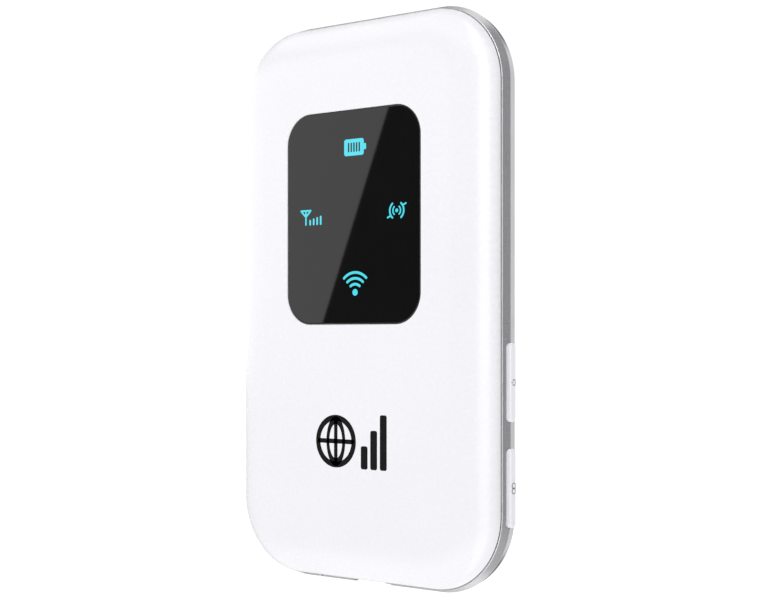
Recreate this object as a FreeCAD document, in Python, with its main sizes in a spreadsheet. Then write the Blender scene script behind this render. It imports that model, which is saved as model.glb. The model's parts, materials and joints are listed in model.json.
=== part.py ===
import FreeCAD, Part
import math
import os
import re
import Sketcher

# Pocket-size mobile hotspot, standing upright.
# +Z runs along its length, the front face looks towards -Y and the two buttons are on the +X side.
# The origin is the centre of the flat back face, so a height above the back face is measured along -Y.

Vector = FreeCAD.Vector
document = FreeCAD.newDocument("MobileHotspot")

# ---------------------------------------------------------------- driving dimensions, in millimetres

CASE_SIZES = (
    ("lip_width", 57.0), ("lip_tall", 97.5), ("lip_round", 13.5), ("thickness", 13.0),
    ("front_seam", 8.75), ("rear_seam", 4.4),
    # front cover: a flat face whose edge falls away as a quarter ellipse
    ("front_inset", 0.3), ("front_run", 7.6), ("front_wall", 1.5), ("front_flat", 1.0),
    ("front_skirt", 2.3), ("tongue_drop", 0.45), ("tongue_thick", 0.6),
    # battery cover: the same shape, facing the other way
    ("rear_inset", 1.4), ("rear_run", 6.6), ("rear_wall", 1.2), ("rear_flat", 2.4),
    ("rear_skirt", 1.45),
    ("tab_wide", 5.0), ("tab_thick", 0.8), ("tab_start", 1.7), ("tab_end", 5.6), ("tab_edge", 3.1),
    ("side_tab_pitch", 30.0), ("end_tab_spread", 12.0), ("top_tab_spread", 9.0),
    ("notch_wide", 7.0), ("notch_tall", 0.75), ("notch_z", 30.0), ("notch_deep", 1.2),
    ("notch_reach", 4.0),
    # silver frame: a groove, a fine bead, two flat faces that meet in a ridge, and a rounded rear edge
    ("groove_inset", 0.62), ("groove_wide", 0.26), ("bead_wide", 0.31), ("bead_radius", 0.18),
    ("bead_inset", 0.32), ("ridge_height", 6.87), ("ridge_proud", 0.25), ("rear_face_height", 5.2),
    ("rear_face_inset", 0.1), ("rear_edge_radius", 1.3), ("rear_edge_inset", 1.3), ("frame_wall", 1.9),
    ("rebate_deep", 0.75), ("rebate_wide", 0.5), ("frame_extra", 0.2), ("wall_clear", 1.0),
    # window and the light parts behind it
    ("window_wide", 29.8), ("window_tall", 36.7), ("window_round", 5.3), ("window_z", 14.25),
    ("window_thick", 0.8), ("window_sunk", 0.05), ("window_gap", 0.05), ("window_ledge", 1.7),
    ("recess_deep", 1.0), ("recess_bevel", 0.2), ("rim_search", 1.0), ("glue_inset", 0.1),
    ("glue_wide", 1.4), ("glue_thick", 0.15), ("film_gap", 0.1), ("film_thick", 0.1),
    ("shroud_wide", 25.0), ("shroud_tall", 32.0), ("shroud_deep", 2.35),
    ("shroud_round", 2.0), ("well_wide", 6.4), ("well_tall", 4.6), ("well_gap", 0.1),
    ("diffuser_thick", 0.8), ("diffuser_drop", 0.1), ("led_wide", 1.6), ("led_tall", 0.8),
    ("led_deep", 0.6), ("battery_icon_x", 0.8), ("battery_icon_z", 26.15), ("signal_icon_x", 9.3),
    ("data_icon_x", 9.95), ("side_icon_z", 14.75), ("wireless_icon_z", 2.8),
    # main board
    ("board_wide", 51.6), ("board_tall", 91.6), ("board_round", 10.8), ("board_back", 8.3),
    ("board_thick", 0.8), ("post_x", 21.0), ("post_z", 41.0), ("post_radius", 2.1),
    ("pilot_radius", 0.75), ("pilot_deep", 2.2), ("post_overlap", 0.2), ("board_hole", 1.0),
    ("small_post_x", 21.0), ("small_post_z", 5.0), ("small_post_radius", 1.8),
    ("small_pilot_radius", 0.7),
    # chassis that carries the battery
    ("chassis_inset", 2.0), ("chassis_wall", 1.0), ("floor_back", 6.7), ("floor_thick", 0.8),
    ("flange_inset", 1.5), ("flange_back", 4.4), ("flange_thick", 0.7),
    ("bay_wall", 0.8), ("bay_slack", 0.4), ("bay_back", 3.4), ("bay_round", 2.4),
    ("screw_sink", 0.4), ("screw_sink_radius", 1.6), ("screw_hole", 0.9),
    ("button_bay_wide", 6.0), ("button_bay_tall", 32.9), ("button_bay_x", 25.05),
    ("button_bay_z", -22.05), ("button_bay_back", 5.05), ("edge_bay_tall", 5.0), ("edge_bay_in", 3.5),
    ("edge_bay_gap", 0.3), ("socket_gap", 0.3), ("plug_gap", 0.6),
    # battery
    ("battery_wide", 44.0), ("battery_tall", 60.0), ("battery_deep", 5.1), ("battery_round", 2.0),
    ("battery_x", -1.2), ("battery_z", 7.0), ("battery_back", 1.4), ("cap_tall", 3.0),
    ("pad_wide", 2.4), ("pad_tall", 1.8), ("pad_thick", 0.15), ("pad_pitch", 4.0),
    ("battery_label_wide", 40.0), ("battery_label_tall", 50.0), ("label_thick", 0.08),
    ("foam_wide", 30.0), ("foam_tall", 46.0), ("foam_thick", 0.1), ("bay_label_wide", 34.0),
    ("bay_label_tall", 44.0),
    # buttons on the right side
    ("button_long", 13.0), ("button_wide", 1.6), ("button_height", 6.75), ("button_proud", 0.83),
    ("button_round", 0.42), ("button_gap", 0.08), ("button_stop", 26.05), ("stop_thick", 0.6),
    ("stop_long", 15.0), ("stop_wide", 2.4), ("pip_long", 0.2), ("pip_radius", 0.6),
    ("power_z", -13.7), ("pairing_z", -30.9), ("guide_inner", 26.1), ("guide_outer", 27.3),
    ("guide_top", -5.9), ("guide_bottom", -39.0), ("guide_back", 5.3), ("guide_front", 8.25),
    ("switch_wide", 2.2), ("switch_long", 4.6), ("switch_deep", 3.2), ("switch_face", 24.4),
    ("plunger_radius", 0.55), ("plunger_proud", 0.8), ("plunger_inside", 0.5), ("plunger_slack", 0.06),
    ("bore_deep", 1.0),
    # reset switch behind a pin hole in the bottom edge
    ("reset_x", -12.0), ("reset_height", 7.55), ("reset_wide", 4.4), ("reset_tall", 2.4),
    ("reset_deep", 1.4), ("reset_face", -45.25), ("reset_hole", 0.55), ("reset_plunger_radius", 0.4),
    # charging port in the bottom edge
    ("usb_wide", 7.5), ("usb_high", 2.45), ("usb_deep", 5.2), ("usb_mouth", -48.45), ("usb_wall", 0.25),
    ("usb_bevel", 0.7), ("usb_opening_gap", 0.3), ("usb_opening_round", 0.6), ("tongue_wide", 4.6),
    ("tongue_high", 0.6), ("tongue_top", 7.75), ("tongue_setback", 0.9), ("tongue_root", 1.0),
    ("usb_pin_wide", 0.35), ("usb_pin_pitch", 0.65), ("usb_pin_thick", 0.08), ("usb_pin_long", 3.2),
    ("usb_pin_setback", 1.0), ("tongue_gap", 0.05),
    # card socket and battery connector
    ("sim_wide", 14.6), ("sim_tall", 12.6), ("sim_deep", 1.4), ("sim_x", -14.4), ("sim_z", -32.6),
    ("sim_wall", 0.2), ("sim_pad_wide", 1.7), ("sim_pad_tall", 1.4),
    ("sim_pad_thick", 0.25), ("sim_pitch", 2.54), ("sim_row", 3.8),
    ("plug_wide", 13.6), ("plug_tall", 3.9), ("plug_deep", 4.6), ("plug_z", -25.95),
    ("plug_slot", 1.4), ("plug_slot_tall", 2.9), ("plug_slot_z", 0.6), ("plug_roof", 1.0),
    ("spring_wide", 0.9), ("spring_thick", 0.2), ("spring_gap", 0.05), ("spring_root", 0.3),
    ("spring_foot", 1.2), ("spring_crest", 1.5), ("spring_rise", 0.8),
    # fasteners
    ("head_radius", 1.4), ("head_thick", 0.6), ("shank_radius", 0.7), ("shank_long", 3.9),
    ("cross_long", 1.5), ("cross_wide", 0.35), ("cross_deep", 0.35), ("small_head_radius", 1.25),
    ("small_head_thick", 0.45), ("small_shank_radius", 0.65), ("small_shank_long", 2.6),
    # antennas: flexible strips cut as a meander
    ("strip_gap", 0.8), ("clip_wide", 1.2), ("clip_long", 2.2),
    ("clip_metal", 0.15), ("clip_gap", 0.02),
    # shields and chips
    ("thermal_inset", 0.75), ("amplifier_upper", 1.68), ("amplifier_lower", -4.2),
    ("shield_wall", 0.2), ("shield_round", 0.8), ("vent_radius", 0.5), ("vent_pitch", 3.0),
    ("chip_mark", 0.4), ("chip_mark_deep", 0.08), ("chip_mark_inset", 1.2),
    # how far a cut runs past a surface, how far joined solids reach into each other, and the little
    # that a half-round end needs beyond half its width
    ("cut_over", 0.1), ("merge", 0.1), ("arc_slack", 0.0005),
)

# Rectangular parts on the board, and the antenna strips: width, length, thickness and centre.
BOARD_PARTS = {
    "modem_chip": (12.0, 12.0, 0.9, -9.5, -15.5),
    "memory_chip": (8.0, 10.5, 0.8, 2.5, -15.0),
    "power_chip": (6.0, 6.0, 0.7, -13.0, -27.5),
    "transceiver_chip": (6.0, 6.0, 0.8, 14.6, -13.5),
    "power_amplifiers": (4.0, 5.0, 0.8, 14.6, -22.0),
    "wifi_chip": (6.0, 6.0, 0.8, 0.0, 39.5),
    "baseband_shield": (27.0, 25.0, 1.6, -5.5, -20.5),
    "rf_shield": (10.0, 25.0, 1.5, 14.6, -20.5),
    "wifi_shield": (14.0, 8.4, 1.3, 0.0, 39.5),
    "main_antenna": (12.0, 9.0, 0.1, 14.0, -35.0),
    "diversity_antenna": (26.0, 3.6, 0.1, -3.0, 42.4),
    "wifi_antenna": (24.0, 2.2, 0.1, 23.8, 12.0),
}

# Groups of equal packages on the front of the board: width, length and thickness, then their centres.
BOARD_GROUPS = {
    "crystal_oscillators": ((3.2, 2.5, 0.7), [(-22.0, -14.0), (-12.0, 39.5)]),
    "power_inductors": ((4.0, 4.0, 1.7), [(-12.0, -38.0), (-6.0, -38.0)]),
    "board_capacitors": ((1.0, 1.6, 0.8), [(-21.0 + 2.2 * step, 35.0) for step in range(5)]
                         + [(22.0, -30.0 + 2.4 * step) for step in range(9)]
                         + [(6.0 + 2.2 * step, -38.0) for step in range(3)]),
}

# Centres of the clips that carry the antenna feeds.
FEED_CLIPS = ((15.0, -37.5), (-14.0, 43.0), (23.6, 22.0))


def make_sheet():
    """Spreadsheet that holds every driving dimension under a plain word."""
    made = document.addObject("Spreadsheet::Sheet", "Sizes")
    rows = list(CASE_SIZES)
    words = ("wide", "tall", "deep", "at_x", "at_z")
    for part, numbers in BOARD_PARTS.items():
        rows += [(f"{part}_{word}", value) for word, value in zip(words, numbers)]
    for part, (numbers, _) in BOARD_GROUPS.items():
        rows += [(f"{part}_{word}", value) for word, value in zip(words, numbers)]
    for row, (alias, value) in enumerate(rows, start=1):
        made.set(f"A{row}", alias)
        made.set(f"B{row}", str(value))
        made.setAlias(f"B{row}", alias)
    document.recompute()
    return made


sheet = make_sheet()


def bound(text):
    """Turn the plain words of a formula into references to the sheet."""
    return re.sub(r"[a-z][a-z_]+", lambda word: "Sizes." + word.group(0), str(text))


def number(text):
    """Value of a formula now."""
    return float(sheet.evalExpression(bound(text)))


# ---------------------------------------------------------------- sketches

CENTRE_AT_START = "centre level with the start"
CENTRE_AT_END = "centre level with the end"
TOLERANCE = 1e-4


def arc_between(start, end, radius, turns_left):
    """Arc of a circle from start to end, shorter than half a turn."""
    chord = end - start
    rise = math.sqrt(max(radius ** 2 - (chord.Length / 2) ** 2, 0.0))
    side = Vector(-chord.y, chord.x, 0).normalize() * (rise if turns_left else -rise)
    centre = (start + end) * 0.5 + side
    first, last = (start, end) if turns_left else (end, start)
    begin = math.atan2(first.y - centre.y, first.x - centre.x)
    finish = math.atan2(last.y - centre.y, last.x - centre.x)
    if finish < begin:
        finish += 2 * math.pi
    return Part.ArcOfCircle(Part.Circle(centre, Vector(0, 0, 1), radius), begin, finish)


def bind(sketch, kind, geometry, text):
    """Add a size constraint that follows the sheet."""
    added = sketch.addConstraint(Sketcher.Constraint(kind, *geometry, number(text)))
    sketch.setExpression(f"Constraints[{added}]", bound(text))


def bind_point(sketch, geometry, x_text, y_text):
    """Hold a point at a place given by two formulas."""
    bind(sketch, "DistanceX", (-1, 1) + geometry, x_text)
    bind(sketch, "DistanceY", (-1, 1) + geometry, y_text)


def add_quarter_ellipse(sketch, here, there, rule):
    """Quarter of an ellipse from here to there; returns the ends of its geometry, in order."""
    start = Vector(number(here[0]), number(here[1]), 0)
    end = Vector(number(there[0]), number(there[1]), 0)
    if rule == CENTRE_AT_START:
        middle = (here[0], there[1])
    else:
        middle = (there[0], here[1])
    centre = Vector(number(middle[0]), number(middle[1]), 0)
    long_end, short_end = sorted((start, end), key=lambda point: -(point - centre).Length)
    ellipse = Part.Ellipse(long_end, short_end, centre)
    if (start - centre).cross(end - centre).z > 0:
        first, last = start, end
    else:
        first, last = end, start
    begin, finish = ellipse.parameter(first), ellipse.parameter(last)
    if finish < begin:
        finish += 2 * math.pi
    added = sketch.addGeometry(Part.ArcOfEllipse(ellipse, begin, finish))
    sketch.exposeInternalGeometry(added)
    bind_point(sketch, (added, 3), *middle)
    axis_is_level = abs((long_end - centre).y) < abs((long_end - centre).x)
    sketch.addConstraint(Sketcher.Constraint("Horizontal" if axis_is_level else "Vertical", added + 1))
    return (added, 1, added, 2) if first == start else (added, 2, added, 1)


def add_loop(sketch, corners):
    """Closed loop; a corner's third entry makes the edge that leaves it an arc."""
    ends = []
    for here, there in zip(corners, corners[1:] + corners[:1]):
        start = Vector(number(here[0]), number(here[1]), 0)
        end = Vector(number(there[0]), number(there[1]), 0)
        rule = here[2] if len(here) == 3 else None
        if rule is None:
            added = sketch.addGeometry(Part.LineSegment(start, end))
            ends.append((added, 1, added, 2))
        elif rule in (CENTRE_AT_START, CENTRE_AT_END):
            ends.append(add_quarter_ellipse(sketch, here, there, rule))
        else:
            turns_left = not rule.startswith("-")
            radius = rule.lstrip("-")
            added = sketch.addGeometry(arc_between(start, end, number(radius), turns_left))
            bind(sketch, "Radius", (added,), radius)
            ends.append((added, 1, added, 2) if turns_left else (added, 2, added, 1))
    for index, corner in enumerate(corners):
        before, after = ends[index - 1], ends[index]
        sketch.addConstraint(Sketcher.Constraint("Coincident", *before[2:], *after[:2]))
        bind_point(sketch, after[:2], corner[0], corner[1])


def add_circle(sketch, x_text, y_text, radius):
    """Full circle."""
    centre = Vector(number(x_text), number(y_text), 0)
    added = sketch.addGeometry(Part.Circle(centre, Vector(0, 0, 1), number(radius)))
    bind(sketch, "Radius", (added,), radius)
    bind_point(sketch, (added, 3), x_text, y_text)


def draw(owner, name, *loops, height="0", role="XZ_Plane", circles=()):
    """Sketch on one of the body's own planes, moved along the plane's normal by height."""
    made = owner.newObject("Sketcher::SketchObject", f"{owner.Name}_{name}")
    plane = [item for item in owner.Origin.OriginFeatures if item.Role == role][0]
    made.AttachmentSupport = (plane, [""])
    made.MapMode = "FlatFace"
    made.setExpression(".AttachmentOffset.Base.z", bound(height))
    for loop in loops:
        add_loop(made, loop)
    for circle in circles:
        add_circle(made, *circle)
    return made


def rectangle(wide, tall, x="0", z="0"):
    """Corners of a rectangle round a centre."""
    left, right = f"({x}) - ({wide}) / 2", f"({x}) + ({wide}) / 2"
    low, high = f"({z}) - ({tall}) / 2", f"({z}) + ({tall}) / 2"
    return [(right, low), (right, high), (left, high), (left, low)]


def rounded(wide, tall, radius, x="0", z="0", split_top=False):
    """Corners of a rounded rectangle round a centre, starting in the middle of its top if split."""
    left, right = f"({x}) - ({wide}) / 2", f"({x}) + ({wide}) / 2"
    low, high = f"({z}) - ({tall}) / 2", f"({z}) + ({tall}) / 2"
    corners = [
        (f"{left} + {radius}", high, radius), (left, f"{high} - {radius}"),
        (left, f"{low} + {radius}", radius), (f"{left} + {radius}", low),
        (f"{right} - {radius}", low, radius), (right, f"{low} + {radius}"),
        (right, f"{high} - {radius}", radius), (f"{right} - {radius}", high),
    ]
    return [(x, high)] + corners if split_top else corners


def plan(inset):
    """Outline of the whole case, pulled in by inset."""
    return rounded(f"lip_width - 2 * ({inset})", f"lip_tall - 2 * ({inset})", f"(lip_round - ({inset}))")


# ---------------------------------------------------------------- bodies and features


def new_body(name, x="0", height="0", z="0"):
    """Empty body whose own origin is at x, z and a height above the back face."""
    made = document.addObject("PartDesign::Body", name)
    made.Label = name
    made.AllowCompound = True
    made.setExpression(".Placement.Base.x", bound(x))
    made.setExpression(".Placement.Base.y", bound(f"-({height})"))
    made.setExpression(".Placement.Base.z", bound(z))
    return made


def pad(owner, name, profile, length, both_ways=False):
    """Solid that grows from a sketch along its normal."""
    made = owner.newObject("PartDesign::Pad", f"{owner.Name}_{name}")
    made.Profile = profile
    made.setExpression("Length", bound(length))
    if both_ways:
        made.SideType = "Symmetric"
    return made


def pocket(owner, name, profile, length, onward=False, both_ways=False):
    """Cut against the sketch's normal, or along it when onward is set."""
    made = owner.newObject("PartDesign::Pocket", f"{owner.Name}_{name}")
    made.Profile = profile
    made.Reversed = onward
    made.setExpression("Length", bound(length))
    if both_ways:
        made.SideType = "Symmetric"
    return made


def sweep(owner, name, profile, inset, extra="0"):
    """Carry a section, drawn at the top of the case, right round the case outline.

    The outline is longer than the case by extra at either end.
    """
    outline = rounded(f"lip_width - 2 * {inset}", f"lip_tall - 2 * {inset} + 2 * {extra}",
                      f"(lip_round - {inset})", split_top=True)
    spine = draw(owner, f"{name}_path", outline)
    document.recompute()
    made = owner.newObject("PartDesign::AdditivePipe", f"{owner.Name}_{name}")
    made.Profile = profile
    made.Spine = (spine, [f"Edge{index + 1}" for index in range(len(outline))])
    made.Mode = "Standard"
    return made


def edge_names(feature, wanted):
    """Names of the edges of a feature that pass a test."""
    document.recompute()
    return [f"Edge{index}" for index, edge in enumerate(feature.Shape.Edges, start=1) if wanted(edge)]


def dress(owner, name, kind, feature, wanted, size):
    """Fillet or chamfer the edges of a feature that pass a test."""
    made = owner.newObject(f"PartDesign::{kind}", f"{owner.Name}_{name}")
    made.Base = (feature, edge_names(feature, wanted))
    made.setExpression("Radius" if kind == "Fillet" else "Size", bound(size))
    return made


def lies_at(edge, height):
    """True for an edge that lies wholly at one height above a body's own origin."""
    box = edge.BoundBox
    return abs(box.YMin + height) < TOLERANCE and abs(box.YMax + height) < TOLERANCE


def block(name, wide, tall, deep, x="0", height="0", z="0", radius=None):
    """Body that starts as a rectangular or rounded slab."""
    made = new_body(name, x, height, z)
    shape = rounded(wide, tall, radius) if radius else rectangle(wide, tall)
    slab = pad(made, "slab", draw(made, "outline", shape), deep)
    return made, slab


BOARD_FRONT = "board_back + board_thick"
POSTS = [(f"{side} * post_x", f"{end} * post_z") for side in (-1, 1) for end in (-1, 1)]
SMALL_POSTS = [(f"{side} * small_post_x", "small_post_z") for side in (-1, 1)]
ICONS = [("battery_icon_x", "battery_icon_z"), ("-signal_icon_x", "side_icon_z"),
         ("data_icon_x", "side_icon_z"), ("battery_icon_x", "wireless_icon_z")]


# ---------------------------------------------------------------- casing


def make_front_cover():
    """White front shell: swept edge, flat face, window recess and screw posts."""
    cover = new_body("front_cover")
    outer, flat = "lip_tall / 2 - front_inset", "lip_tall / 2 - front_inset - front_run"
    inner = f"{outer} - front_skirt"
    lining = "-(thickness - front_wall)"
    tongue = "-(front_seam - tongue_drop)"
    section = draw(cover, "edge_section", [
        ("-front_seam", outer, CENTRE_AT_START), ("-thickness", flat),
        ("-thickness", f"{flat} - front_flat"), (lining, f"{flat} - front_flat"),
        (lining, flat, CENTRE_AT_END), ("-front_seam", inner), (tongue, inner),
        (tongue, f"{inner} + tongue_thick"), ("-front_seam", f"{inner} + tongue_thick"),
    ], role="YZ_Plane")
    sweep(cover, "edge", section, "front_inset")
    face = draw(cover, "face_outline", plan("front_inset + front_run + front_flat / 2"),
                height="thickness - front_wall")
    pad(cover, "face", face, "front_wall")
    posts = draw(cover, "posts", height=BOARD_FRONT, circles=[(*spot, "post_radius") for spot in POSTS])
    pad(cover, "post_pads", posts, f"thickness - front_wall + post_overlap - ({BOARD_FRONT})")
    small = draw(cover, "small_posts", height=BOARD_FRONT,
                 circles=[(*spot, "small_post_radius") for spot in SMALL_POSTS])
    pad(cover, "small_post_pads", small, f"thickness - front_wall + post_overlap - ({BOARD_FRONT})")
    pilots = draw(cover, "pilots", height=BOARD_FRONT,
                  circles=[(*spot, "pilot_radius") for spot in POSTS]
                  + [(*spot, "small_pilot_radius") for spot in SMALL_POSTS])
    pocket(cover, "pilot_holes", pilots, "pilot_deep", onward=True)
    recess = draw(cover, "recess_outline", rounded("window_wide + 2 * window_gap",
                  "window_tall + 2 * window_gap", "(window_round + window_gap)", z="window_z"),
                  height="thickness")
    pocket(cover, "recess", recess, "recess_deep")
    opening = draw(cover, "opening_outline", rounded("window_wide - 2 * window_ledge",
                   "window_tall - 2 * window_ledge", "(window_round - window_ledge)", z="window_z"),
                   height="thickness")
    opened = pocket(cover, "opening", opening, "front_wall + cut_over")
    half_wide = number("window_wide / 2 + rim_search")
    half_tall = number("window_tall / 2 + rim_search")

    def rims_recess(edge):
        spot = edge.CenterOfMass
        return (lies_at(edge, number("thickness")) and abs(spot.x) < half_wide
                and abs(spot.z - number("window_z")) < half_tall)

    dress(cover, "recess_rim", "Chamfer", opened, rims_recess, "recess_bevel")


def make_middle_frame():
    """Silver frame: beaded and ridged section, button guide, port opening and pin hole."""
    frame = new_body("middle_frame")
    lip = "lip_tall / 2 + frame_extra"
    inner = f"{lip} - frame_wall"
    bead_front = "front_seam - groove_wide"
    section = draw(frame, "section", [
        ("-front_seam", f"{lip} - groove_inset"), (f"-({bead_front})", f"{lip} - groove_inset"),
        (f"-({bead_front})", f"{lip} - bead_inset", "-bead_radius"),
        (f"-({bead_front} - bead_wide)", f"{lip} - bead_inset"),
        ("-ridge_height", f"{lip} + ridge_proud"),
        ("-rear_face_height", f"{lip} - rear_face_inset", "-rear_edge_radius"),
        ("-rear_seam", f"{lip} - rear_edge_inset"),
        ("-rear_seam", f"{inner} + rebate_wide"),
        ("-(rear_seam + rebate_deep)", f"{inner} + rebate_wide"),
        ("-(rear_seam + rebate_deep)", inner), ("-front_seam", inner),
    ], role="YZ_Plane")
    sweep(frame, "ring", section, "0", extra="frame_extra")
    guide = draw(frame, "guide_outline", rectangle(
        "guide_outer - guide_inner", "guide_top - guide_bottom",
        x="(guide_outer + guide_inner) / 2", z="(guide_top + guide_bottom) / 2"), height="guide_back")
    pad(frame, "guide", guide, "guide_front - guide_back")
    slots = [stadium("button_long + 2 * button_gap", "button_wide + 2 * button_gap", spot)
             for spot in ("power_z", "pairing_z")]
    cut = draw(frame, "slot_outline", *slots, role="YZ_Plane", height="guide_inner - wall_clear")
    pocket(frame, "button_slots", cut, "lip_width", onward=True)
    port = rounded("usb_wide + 2 * usb_opening_gap", "usb_high + 2 * usb_opening_gap",
                   "usb_opening_round", z="board_back - usb_high / 2")
    mirrored = [(corner[0], f"-({corner[1]})") + corner[2:] for corner in reversed_loop(port)]
    pocket(frame, "port_opening", draw(frame, "port_outline", mirrored, role="XY_Plane",
           height="-(lip_tall / 2 - frame_wall - wall_clear)"), "lip_tall")
    hole = draw(frame, "pin_hole_outline", role="XY_Plane",
                height="-(lip_tall / 2 - frame_wall - wall_clear)",
                circles=[("reset_x", "-reset_height", "reset_hole")])
    pocket(frame, "pin_hole", hole, "lip_tall")


def reversed_loop(corners):
    """The same loop walked the other way, with its arcs kept on their own edges."""
    turned = []
    for index in range(len(corners) - 1, -1, -1):
        before = corners[index - 1]
        turned.append(corners[index][:2] + before[2:])
    return turned


def stadium(long, wide, z, height="button_height"):
    """Slot shape on the side plane: long along Z, with half-round ends."""
    straight = f"(({long}) / 2 - ({wide}) / 2)"
    back, front = f"-({height}) + ({wide}) / 2", f"-({height}) - ({wide}) / 2"
    end_radius = f"(({wide}) / 2 + arc_slack)"
    return [(back, f"({z}) - {straight}"), (back, f"({z}) + {straight}", end_radius),
            (front, f"({z}) + {straight}"), (front, f"({z}) - {straight}", end_radius)]


def make_rear_housing():
    """Chassis between the board and the battery, with the battery bay on its rear."""
    chassis = new_body("rear_housing")
    pad(chassis, "floor", draw(chassis, "floor_outline", plan("chassis_inset"), height="floor_back"),
        "floor_thick")
    wall = draw(chassis, "wall_outline", plan("chassis_inset"), plan("chassis_inset + chassis_wall"),
                height="flange_back")
    pad(chassis, "wall", wall, "board_back - flange_back")
    flange = draw(chassis, "flange_outline", plan("flange_inset"), plan("chassis_inset + chassis_wall"),
                  height="flange_back")
    pad(chassis, "flange", flange, "flange_thick")
    bay = [rounded(f"battery_wide + 2 * ({grow})", f"battery_tall + 2 * ({grow})", radius,
                   x="battery_x", z="battery_z")
           for grow, radius in (("bay_slack + bay_wall", "(bay_round + bay_wall)"),
                                ("bay_slack", "bay_round"))]
    pad(chassis, "bay", draw(chassis, "bay_outline", *bay, height="bay_back"),
        "floor_back - bay_back + merge")
    posts = draw(chassis, "posts", height="floor_back", circles=[(*spot, "post_radius") for spot in POSTS])
    pad(chassis, "post_pads", posts, "board_back - floor_back")
    holes = draw(chassis, "holes", height="board_back", circles=[(*spot, "screw_hole") for spot in POSTS])
    pocket(chassis, "screw_holes", holes, "board_back - floor_back + cut_over")
    sinks = draw(chassis, "sinks", height="floor_back + screw_sink",
                 circles=[(*spot, "screw_sink_radius") for spot in POSTS])
    pocket(chassis, "screw_sinks", sinks, "screw_sink + cut_over")
    button_bay = rectangle("button_bay_wide", "button_bay_tall", x="button_bay_x", z="button_bay_z")
    edge_z = "-(lip_tall / 2 - edge_bay_in)"
    port_bay = rectangle("usb_wide + 2 * edge_bay_gap", "edge_bay_tall", z=edge_z)
    reset_bay = rectangle("reset_wide + 2 * edge_bay_gap", "edge_bay_tall", x="reset_x", z=edge_z)
    socket_window = rectangle("sim_wide + 2 * socket_gap", "sim_tall + 2 * socket_gap",
                              x="sim_x", z="sim_z")
    plug_window = rectangle("plug_wide + 2 * plug_gap", "plug_tall + 2 * plug_gap", z="plug_z")
    cuts = (("button_bay", button_bay, "board_back - button_bay_back"),
            ("port_bay", port_bay, "usb_high + edge_bay_gap"),
            ("reset_bay", reset_bay, "board_back - floor_back + cut_over"),
            ("socket_window", socket_window, "board_back - bay_back + cut_over"),
            ("plug_window", plug_window, "board_back - bay_back + cut_over"))
    for name, outline, depth in cuts:
        drawn = draw(chassis, f"{name}_outline", outline, height="board_back + cut_over")
        pocket(chassis, name, drawn, f"{depth} + cut_over")


def make_battery_cover():
    """White rear shell that lifts off: swept edge, flat back, locating tabs and a pry notch."""
    cover = new_body("battery_cover")
    outer, flat = "lip_tall / 2 - rear_inset", "lip_tall / 2 - rear_inset - rear_run"
    lining_round = "(rear_seam - rear_wall)"
    section = draw(cover, "edge_section", [
        ("-rear_seam", f"{outer} - rear_skirt", f"-{lining_round}"),
        ("-rear_wall", f"{outer} - rear_skirt - {lining_round}"),
        ("-rear_wall", f"{flat} - rear_flat"), ("0", f"{flat} - rear_flat"),
        ("0", flat, CENTRE_AT_END), ("-rear_seam", outer),
    ], role="YZ_Plane")
    sweep(cover, "edge", section, "rear_inset")
    back = draw(cover, "back_outline", plan("rear_inset + rear_run + rear_flat / 2"))
    pad(cover, "back", back, "rear_wall")
    reach_x = "(lip_width / 2 - tab_edge - tab_thick / 2)"
    reach_z = "(lip_tall / 2 - tab_edge - tab_thick / 2)"
    side_spots = [(f"-{reach_x}", f"{step} * side_tab_pitch") for step in (-1, 0, 1)]
    side_spots += [(reach_x, "side_tab_pitch"), (reach_x, "side_tab_pitch / 3")]
    end_spots = [(f"{side} * top_tab_spread", reach_z) for side in (-1, 1)]
    end_spots += [(f"{side} * end_tab_spread", f"-{reach_z}") for side in (-1, 1)]
    tabs = [rectangle("tab_thick", "tab_wide", x, z) for x, z in side_spots]
    tabs += [rectangle("tab_wide", "tab_thick", x, z) for x, z in end_spots]
    pad(cover, "tabs", draw(cover, "tab_outline", *tabs, height="tab_start"), "tab_end - tab_start")
    notch = stadium("notch_wide", "notch_tall", "-notch_z", height="rear_seam")
    pocket(cover, "notch", draw(cover, "notch_outline", notch, role="YZ_Plane",
           height="-(lip_width / 2 - rear_inset - notch_deep)"), "notch_reach")


# ---------------------------------------------------------------- window and lights


def make_display_window():
    """Smoked window that fills the recess in the front cover."""
    block("display_window", "window_wide", "window_tall", "window_thick", z="window_z",
          height="thickness - window_sunk - window_thick", radius="window_round")


def make_window_adhesive():
    """Frame of adhesive between the window and the ledge of the recess."""
    glue = new_body("window_adhesive", z="window_z", height="thickness - recess_deep")
    loops = [rounded(f"window_wide - 2 * {inset}", f"window_tall - 2 * {inset}",
                     f"(window_round - {inset})") for inset in ("glue_inset", "glue_wide")]
    pad(glue, "ring", draw(glue, "outline", *loops), "glue_thick")


def make_icon_film():
    """Thin dark film behind the window that masks everything but the icons."""
    inset = "(window_ledge + film_gap)"
    block("icon_film", f"window_wide - 2 * {inset}", f"window_tall - 2 * {inset}",
          "film_thick", z="window_z", radius=f"(window_round - {inset})",
          height="thickness - window_sunk - window_thick - film_thick")


def make_light_shroud():
    """Block that keeps the light of each icon to itself, with a well below each icon."""
    shroud, _ = block("light_shroud", "shroud_wide", "shroud_tall", "shroud_deep", z="window_z",
                      height=BOARD_FRONT, radius="shroud_round")
    wells = [rectangle("well_wide", "well_tall", x=x, z=f"{z} - window_z") for x, z in ICONS]
    pocket(shroud, "wells", draw(shroud, "well_outline", *wells, height="shroud_deep"),
           "shroud_deep + cut_over")


def make_icon_diffusers():
    """Milky pad in the mouth of each well."""
    pads = new_body("icon_diffusers",
                    height=f"{BOARD_FRONT} + shroud_deep - diffuser_drop - diffuser_thick")
    loops = [rectangle("well_wide - 2 * well_gap", "well_tall - 2 * well_gap", x, z) for x, z in ICONS]
    pad(pads, "pads", draw(pads, "outline", *loops), "diffuser_thick")


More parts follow.
